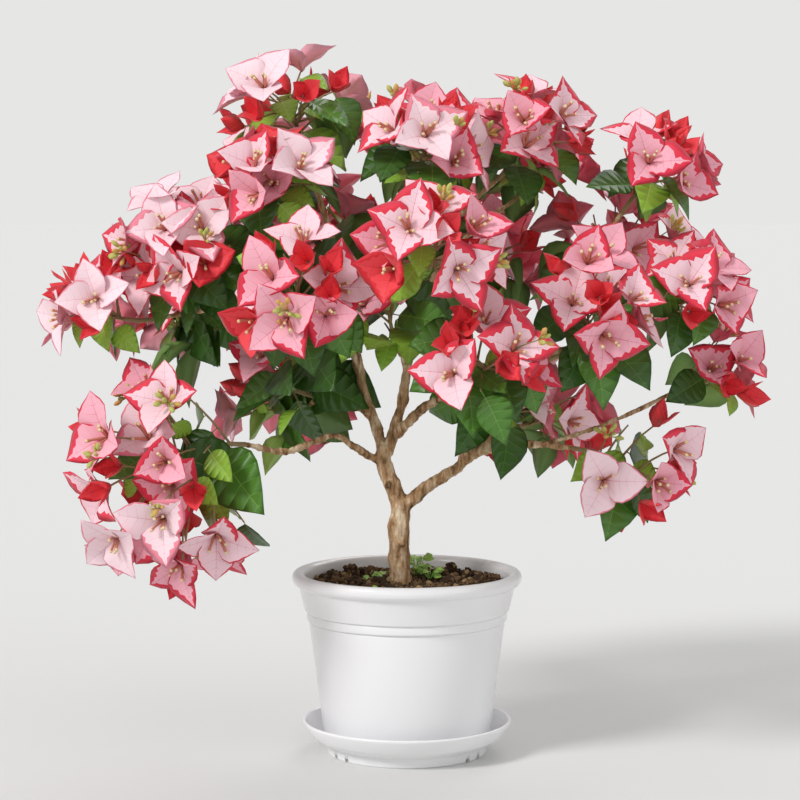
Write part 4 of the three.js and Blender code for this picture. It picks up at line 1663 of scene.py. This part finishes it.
@dataclass(frozen=True)
class LeafPattern:
    """A leaf, one unit long: ovate with a drawn-out tip, folded along a pale rib, with pale side veins."""

    thickness: float = 0.02  # at its middle; the edges are sharp
    stalk: float = 0.13
    stalk_radii: tuple[float, float] = (0.013, 0.009)
    fold: float = 0.18
    rib: float = 0.008  # half its width
    vein: float = 0.005
    rib_lift: float = 0.001  # how far the rib and the veins stand above the blade
    slant: float = 0.14  # how far the veins lean to the tip
    vein_share: float = 0.84  # how far out the veins run
    outline: Outline = Outline(
        (0.0, 0.06, 0.17, 0.31, 0.47, 0.63, 0.78, 0.9, 1.0),
        (0.0, 0.17, 0.315, 0.388, 0.378, 0.298, 0.186, 0.08, 0.0),
    )

    def shape(self, chance: Chance) -> Shape:
        """Makes the leaf on its stalk.

        Args:
            chance: the stream that its droop and wave are drawn from.

        Returns:
            The leaf: Y runs to its tip and Z is its upper side.
        """
        sheet = Sheet()
        droop, wave, twist = 0.05 + 0.22 * chance(), chance() * 6.28, 0.3 * (chance() - 0.5)
        blade = 1 - self.stalk
        fold = self.fold * (0.6 + 0.9 * chance())

        def lifted(side: int, root: float, edge: float, width: float, f: float, rise: float = 0.0) -> int:
            """Adds a corner on a vein, with the fold, droop and wave.

            Args:
                side: -1 on the left half and 1 on the right.
                root: the vein's share of the length at the rib.
                edge: its share of the length at the edge.
                width: the half width at its end.
                f: how far out on the vein the corner is.
                rise: how far it stands above the sheet.

            Returns:
                The corner's number.
            """
            share = root + (edge - root) * f
            x = side * width * f
            ripple = 0.09 * math.sin(wave + 4 * edge + side) * math.sin(math.pi * edge) * width * f
            z = -droop * share**2 + fold * abs(x) + ripple + twist * x * share + rise
            return sheet.corner(x * blade, self.stalk + blade * share, z)

        veins, count = self.outline.veins(self.slant), self.outline.stretches
        root_corner, tip_corner = sheet.corner(0.0, self.stalk, 0.0), sheet.corner(0.0, 1.0, -droop)
        keel = [root_corner, *(lifted(1, *vein, 0.0, -self.thickness) for vein in veins[1:-1]), tip_corner]
        ribs: dict[int, list[tuple[int, int]]] = {}
        for side in (-1, 1):
            edges, ends, ribs[side] = [root_corner], [root_corner], [(root_corner, root_corner)]
            for root, edge, width in veins[1:-1]:
                edges.append(lifted(side, root, edge, width, 1.0))
                ends.append(lifted(side, root, edge, width, self.vein_share))
                slim = self.rib * (1.3 - edge) / width
                low, high = (
                    lifted(side, root + step, edge + step, width, slim, self.rib_lift)
                    for step in (-self.vein, self.vein)
                )
                ribs[side].append((low, high))
            edges.append(tip_corner)
            ends.append(tip_corner)
            ribs[side].append((tip_corner, tip_corner))
            for k in range(count):
                (low, high), (next_low, _) = ribs[side][k], ribs[side][k + 1]
                sheet.face((edges[k], ends[k], high, next_low, ends[k + 1], edges[k + 1]), 0, side > 0)
                sheet.face((low, high, ends[k]), 2, side > 0)
                sheet.back_face(edges[k], edges[k + 1], keel[k + 1], keel[k], 1, side)
        sheet.rib(ribs[-1], ribs[1], 2)
        stalk = tube(np.array(((0, 0, 0), (0, self.stalk + 0.03, -0.006))), self.stalk_radii, 4)
        first = len(sheet.corners)
        sheet.corners += [tuple(corner) for corner in stalk.corners]
        for face in stalk.faces:
            sheet.face([corner + first for corner in face], 2)
        return sheet.shape()


@dataclass(frozen=True)
class FlowerTube:
    """One of the true flowers: a slim tube with a flared mouth."""

    length: float = 0.0165
    radius: float = 0.0009
    mouth: float = 0.0012
    bend: float = 0.0006

    def shape(self) -> Shape:
        """Makes the flower, with Y along it.

        Returns:
            The flower, its mouth in the second finish.
        """
        along, sides = (0, 0.35, 0.7, 0.93, 1.0), 5
        points = np.array([(self.bend * math.sin(3 * share), share * self.length, 0) for share in along])
        radii = (self.radius * 0.8, self.radius * 1.4, self.radius, self.radius * 1.3, self.mouth)
        made = tube(points, radii, sides)
        flare, foot = (len(along) - 2) * sides, (len(along) - 1) * sides
        finish = tuple(1 if i >= flare and i != foot else 0 for i in range(len(made.faces)))
        return Shape(made.corners, made.faces, finish)


@dataclass(frozen=True)
class Bud:
    """A flower bud on its stalk."""

    stalk: float = 0.006
    stalk_radii: tuple[float, float] = (0.0005, 0.0006)
    length: float = 0.0075
    radius: float = 0.0021

    def shape(self, finish: int) -> Shape:
        """Makes the bud, with Y along it.

        Args:
            finish: which of the bud finishes it has.

        Returns:
            The bud.
        """
        along = (0, self.stalk, *(self.stalk + share * self.length for share in (0.25, 0.6, 0.88, 1)))
        radii = (*self.stalk_radii, *(self.radius * share for share in (0.8, 1, 0.6, 0.12)))
        made = tube(np.array([(0, y, 0) for y in along]), radii, 6)
        return Shape(made.corners, made.faces, (finish,) * len(made.faces))


# ---------------------------------------------------------------------------------- pot, saucer and soil


@dataclass
class Saucer:
    """The saucer: a dish with a flared wall on a foot ring."""

    profile: tuple[tuple[float, float], ...] = (
        (0.060, 0.0), (0.0635, 0.0), (0.0642, 0.001), (0.0646, 0.0074), (0.0665, 0.0092),
        (0.0700, 0.0103), (0.0735, 0.0117), (0.0768, 0.0142), (0.0795, 0.0178), (0.0818, 0.0215),
        (0.0833, 0.0243), (0.0836, 0.0256), (0.0830, 0.0264), (0.0820, 0.0265), (0.0808, 0.0257),
        (0.0790, 0.0222), (0.0768, 0.0184), (0.0735, 0.0134), (0.0700, 0.0098), (0.0680, 0.0090),
        (0.050, 0.0090),
    )

    foot: float = 0.0635  # the foot ring's radius
    drain_angles: tuple[float, ...] = (48, 61, 119, 132)  # from the front, to both sides
    drain_size: Point = (0.004, 0.010, 0.006)

    def build(self) -> bpy.types.Object:
        """Builds and dresses the saucer.

        Returns:
            The saucer.
        """
        saucer = turned("white_saucer", self.profile)
        self.cut_drains(saucer)
        return finished(saucer, POT_PLASTIC, "saucer", "saucer")

    def cut_drains(self, saucer: bpy.types.Object) -> None:
        """Cuts the small drain notches through the foot ring.

        Args:
            saucer: the turned saucer.
        """
        for angle in (side * angle for angle in self.drain_angles for side in (-1, 1)):
            turn = math.radians(angle - 90)
            place = (math.cos(turn) * self.foot, math.sin(turn) * self.foot, 0.0)
            deselect()
            bpy.ops.mesh.primitive_cube_add(size=1, location=place, rotation=(0, 0, turn + math.pi / 2))
            cutter = bpy.context.object
            cutter.scale = self.drain_size
            bpy.ops.object.transform_apply(location=True, rotation=True, scale=True)
            deselect()
            saucer.select_set(True)
            bpy.context.view_layer.objects.active = saucer
            notch = saucer.modifiers.new("drain", "BOOLEAN")
            notch.operation, notch.object, notch.solver = "DIFFERENCE", cutter, "EXACT"
            bpy.ops.object.modifier_apply(modifier=notch.name)
            bpy.data.objects.remove(cutter)


@dataclass
class Pot:
    """The pot: tapered, with two fine ribs round it and a rolled rim."""

    profile: tuple[tuple[float, float], ...] = (
        (0.060, 0.0093), (0.0655, 0.0093), (0.0662, 0.0100), (0.0722, 0.0570), (0.0784, 0.1058),
        (0.0776, 0.1066), (0.0798, 0.1073), (0.0802, 0.1082), (0.0804, 0.1134), (0.0796, 0.1142),
        (0.0818, 0.1149), (0.0822, 0.1160), (0.0861, 0.1330), (0.0868, 0.1346), (0.0898, 0.1362),
        (0.0914, 0.1384), (0.0920, 0.1410), (0.0914, 0.1436), (0.0898, 0.1454), (0.0874, 0.1460),
        (0.0846, 0.1452), (0.0824, 0.1438), (0.0815, 0.1418), (0.0804, 0.1340), (0.0728, 0.0700),
        (0.0634, 0.0140), (0.0620, 0.0127), (0.040, 0.0127),
    )

    def build(self) -> bpy.types.Object:
        """Builds and dresses the pot.

        Returns:
            The pot.
        """
        return finished(turned("white_pot", self.profile), POT_PLASTIC, "pot", "pot")


@dataclass
class Soil:
    """The soil: a lumpy crust with crumbs and clods on it, seedlings and some moss."""

    level: float = 0.1355
    radius: float = 0.0802
    sides: int = 96
    underside: tuple[tuple[float, float], ...] = ((0.040, 0.0132), (0.0618, 0.0132))
    # The crust's rings before it is made lumpy: radius, and height over the level.
    rings: tuple[tuple[float, float], ...] = (
        (0.0801, 0.0), (0.072, 0.0005), (0.052, 0.0), (0.034, 0.0), (0.018, 0.0),
    )
    lumpy_to: float = 0.0795  # the radius that its lumps reach
    lump: float = 0.0048  # how high they are
    lump_wave: float = 60  # how close they are, per metre
    trunk: tuple[float, float] = (-0.004, 0.0)
    mound: float = 0.0035  # how far the soil rises round the trunk
    mound_radius: float = 0.026
    crumbs: int = 5200
    crumbs_inset: float = 0.003
    clod_crumbs: int = 26
    # Each tuft's place, height, length of leaf and number of leaves: two of seedlings, then three of moss.
    tufts: tuple[tuple[float, float, float, float, int], ...] = (
        (0.008, 0.021, 0.017, 0.0092, 18),
        (0.018, 0.017, 0.010, 0.0080, 15),
        (-0.019, 0.026, 0.007, 0.0070, 20),
        (-0.028, 0.018, 0.005, 0.0060, 16),
        (-0.030, -0.045, 0.003, 0.0045, 14),
    )
    # The larger clods: place and radius.
    clods: tuple[tuple[float, float, float], ...] = (
        (-0.046, 0.042, 0.0075), (-0.038, 0.050, 0.0060), (-0.061, 0.018, 0.0058), (0.052, 0.030, 0.0072),
        (0.063, 0.012, 0.0056), (0.036, 0.048, 0.0062), (0.069, -0.012, 0.0046), (-0.066, -0.016, 0.0044),
        (0.030, 0.020, 0.0050), (0.022, -0.054, 0.0038),
    )

    stem_radii: tuple[float, ...] = (0.0005, 0.0004, 0.0003)  # of a tuft's leaves

    def height(self, x: float, y: float) -> float:
        """How high the crust stands at a place.

        Args:
            x: the place's X.
            y: its Y.

        Returns:
            The height of its surface.
        """
        level = self.level + self.lump * noise.noise(Vector((x * self.lump_wave, y * self.lump_wave, 0.3)))
        near = max(0.0, 1 - math.hypot(x - self.trunk[0], y - self.trunk[1]) / self.mound_radius)
        return level + self.mound * near

    def build(self) -> None:
        """Builds the crust, the crumbs and the greenery."""
        self.build_crust()
        self.build_crumbs()
        self.build_green()

    def build_crust(self) -> bpy.types.Object:
        """Builds the plug of soil that fills the pot.

        Returns:
            The plug, with its lumpy crust.
        """
        rings = ((radius, self.level + rise) for radius, rise in self.rings)
        crust = turned("soil_crust", (*self.underside, *rings), self.sides)
        deselect()
        crust.select_set(True)
        bpy.context.view_layer.objects.active = crust
        bpy.ops.object.mode_set(mode="EDIT")
        bpy.ops.mesh.select_all(action="SELECT")
        bpy.ops.mesh.quads_convert_to_tris()
        bpy.ops.mesh.subdivide(number_cuts=2)
        bpy.ops.object.mode_set(mode="OBJECT")
        for vertex in crust.data.vertices:
            x, y, z = vertex.co
            if z > self.level - 0.001 and math.hypot(x, y) < self.lumpy_to:
                vertex.co.z = self.height(x, y)
        return finished(crust, SOIL_HUMUS, "soil", "soil")

    def build_crumbs(self) -> bpy.types.Object:
        """Builds the crumbs and clods that lie on the crust.

        Returns:
            The crumbs, as one piece.
        """
        crumbs = Joined("soil_crumbs", list(CRUMBS), smooth=False)
        chance = Chance(CRUMB_STREAM)
        ball = self.crumb()
        for _ in range(self.crumbs):
            radius = (self.radius - self.crumbs_inset) * math.sqrt(chance())
            angle = 2 * math.pi * chance()
            x, y = radius * math.cos(angle), radius * math.sin(angle)
            size = 0.0005 + 0.0009 * chance() + 0.0030 * chance() ** 14
            forward = np.array((chance() - 0.5, chance() - 0.5, chance() - 0.5))
            face = np.array((chance() - 0.5, chance() - 0.5, chance()))
            stretch = np.diag((1, 0.6 + 0.5 * chance(), 0.6 + 0.4 * chance())) @ axes_for(forward, face)
            tone = 0 if chance() < 0.45 else 1 if chance() < 0.75 else 2
            at = np.array((x, y, self.height(x, y) + size * 0.35))
            crumbs.add(ball, stretch, at, size, tone)
        for i, (x, y, size) in enumerate(self.clods):
            turn = axes_for(np.array((chance() - 0.5, chance() - 0.5, 0.3)), UP)
            middle = np.array((x, y, self.height(x, y) + size * 0.2))
            crumbs.add(ball, turn, middle, size * 0.8, 0)
            for _ in range(self.clod_crumbs):
                away = unit(np.array((chance() - 0.5, chance() - 0.5, chance() - 0.25)))
                grain = size * (0.16 + 0.2 * chance())
                tone = 0 if chance() < 0.6 else i % 2 + 1
                crumbs.add(ball, axes_for(away, UP), middle + away * size * 0.78, grain, tone)
        return crumbs.made("soil")

    @staticmethod
    def crumb() -> Shape:
        """Makes a rough crumb of twenty faces.

        Returns:
            The crumb, about one unit in radius.
        """
        deselect()
        bpy.ops.mesh.primitive_ico_sphere_add(subdivisions=1, radius=1)
        start = bpy.context.object
        corners = np.array([v.co for v in start.data.vertices])
        faces = tuple(tuple(p.vertices) for p in start.data.polygons)
        bpy.data.objects.remove(start)
        chance = Chance(CRUMB_SHAPE_STREAM)
        corners *= np.array([0.75 + 0.5 * chance() for _ in corners])[:, None]
        return Shape(corners, faces, (0,) * len(faces))

    def build_green(self) -> bpy.types.Object:
        """Builds the seedlings and the moss, in tufts.

        Returns:
            The tufts, as one piece.
        """
        green = Joined("seedling_and_moss", [SEEDLING_SKIN])
        chance = Chance(TUFT_STREAM)
        outline = Outline((0.0, 0.2, 0.5, 0.8, 1.0), (0.0, 0.32, 0.42, 0.24, 0.0))
        leaf = LeafPattern(outline=outline).shape(Chance(TUFT_LEAF_STREAM))
        plain = Shape(leaf.corners, leaf.faces, (0,) * len(leaf.faces))
        for x, y, tall, length, count in self.tufts:
            foot = np.array((x, y, self.height(x, y) - 0.001))
            for i in range(count):
                angle = 2.4 * i + chance()  # nearly the golden angle, so that the leaves spread evenly
                side = np.array((math.cos(angle), math.sin(angle), 0.0))
                tip = foot + side * length * (0.2 + 0.5 * chance()) + UP * tall * (0.35 + 0.65 * chance())
                line = Route.arched(foot, (foot + tip) / 2 + side * 0.001, tip)
                stem = tube(line.spaced(len(self.stem_radii)), self.stem_radii, 4)
                green.add(stem, np.eye(3), np.zeros(3))
                out = unit(side + UP * (0.1 + 0.5 * chance()))
                face = UP * 0.8 - side * 0.3 + np.array((0.0, -0.7, 0.0))
                green.add(plain, axes_for(out, face), tip, length * (0.7 + 0.5 * chance()))
        return green.made("foliage")


# ------------------------------------------------------------------------------------------------ the studio


@dataclass
class Studio:
    """A pale ground, soft light and the camera."""

    eye: Point = (-0.0056, -1.8, 0.426)
    look_down: float = 4.55  # degrees
    lens: float = 102.1
    sensor: float = 36.0
    ground_size: float = 400.0
    # Each lamp's name, the side that it shines from, how wide it looks in degrees, and its strength.
    lamps: tuple[tuple[str, Point, float, float], ...] = (
        ("key", (-4.4, -3.6, 4.4), 16.0, 1.75),
        ("fill", (4.6, -3.6, 2.4), 33.0, 0.22),
        ("back", (1.6, 5.0, 4.6), 29.0, 0.55),
    )
    sky: float = 0.66  # how strongly the sky lights the bush
    sky_colour: str = "F4F4F6"
    backdrop: str = "E6E6E5"  # what the camera sees in its place

    def build(self) -> None:
        """Builds the ground, the lights and the camera."""
        deselect()
        bpy.ops.mesh.primitive_plane_add(size=self.ground_size, location=(0, 0, 0))
        ground = bpy.context.object
        ground.name = "ground"
        ground.data.materials.append(GROUND_PAPER.material())
        for name, side, width, strength in self.lamps:
            data = bpy.data.lights.new(name, "SUN")
            data.angle, data.energy = math.radians(width), strength
            lamp = bpy.data.objects.new(name, data)
            lamp.location = side
            lamp.rotation_euler = (-Vector(side)).to_track_quat("-Z", "Y").to_euler()
            bpy.context.scene.collection.objects.link(lamp)
        world = bpy.data.worlds.new("soft_sky")
        world.use_nodes = True
        tree = world.node_tree
        sky, shown = tree.nodes["Background"], tree.nodes.new("ShaderNodeBackground")
        sky.inputs["Color"].default_value = linear(self.sky_colour)
        sky.inputs["Strength"].default_value = self.sky
        shown.inputs["Color"].default_value = linear(self.backdrop)
        path, either = tree.nodes.new("ShaderNodeLightPath"), tree.nodes.new("ShaderNodeMixShader")
        tree.links.new(path.outputs["Is Camera Ray"], either.inputs[0])
        tree.links.new(sky.outputs[0], either.inputs[1])
        tree.links.new(shown.outputs[0], either.inputs[2])
        tree.links.new(either.outputs[0], tree.nodes["World Output"].inputs["Surface"])
        scene = bpy.context.scene
        scene.world = world
        scene.view_settings.view_transform = "Standard"
        camera = bpy.data.objects.new("camera", bpy.data.cameras.new("camera"))
        camera.data.lens, camera.data.sensor_width = self.lens, self.sensor
        camera.location = self.eye
        camera.rotation_euler = (math.radians(90 - self.look_down), 0, 0)
        scene.collection.objects.link(camera)
        scene.camera = camera


def main() -> None:
    """Builds the bush from the ground up."""
    logging.basicConfig(level=logging.INFO, format="%(name)s %(message)s", stream=sys.stdout)
    Studio().build()
    Saucer().build()
    Pot().build()
    Soil().build()
    skeleton = Skeleton()
    limbs = skeleton.limbs()
    skeleton.build(limbs)
    crown = Crown(limbs)
    crown.grow()
    crown.build()


if __name__ == "__main__":
    main()
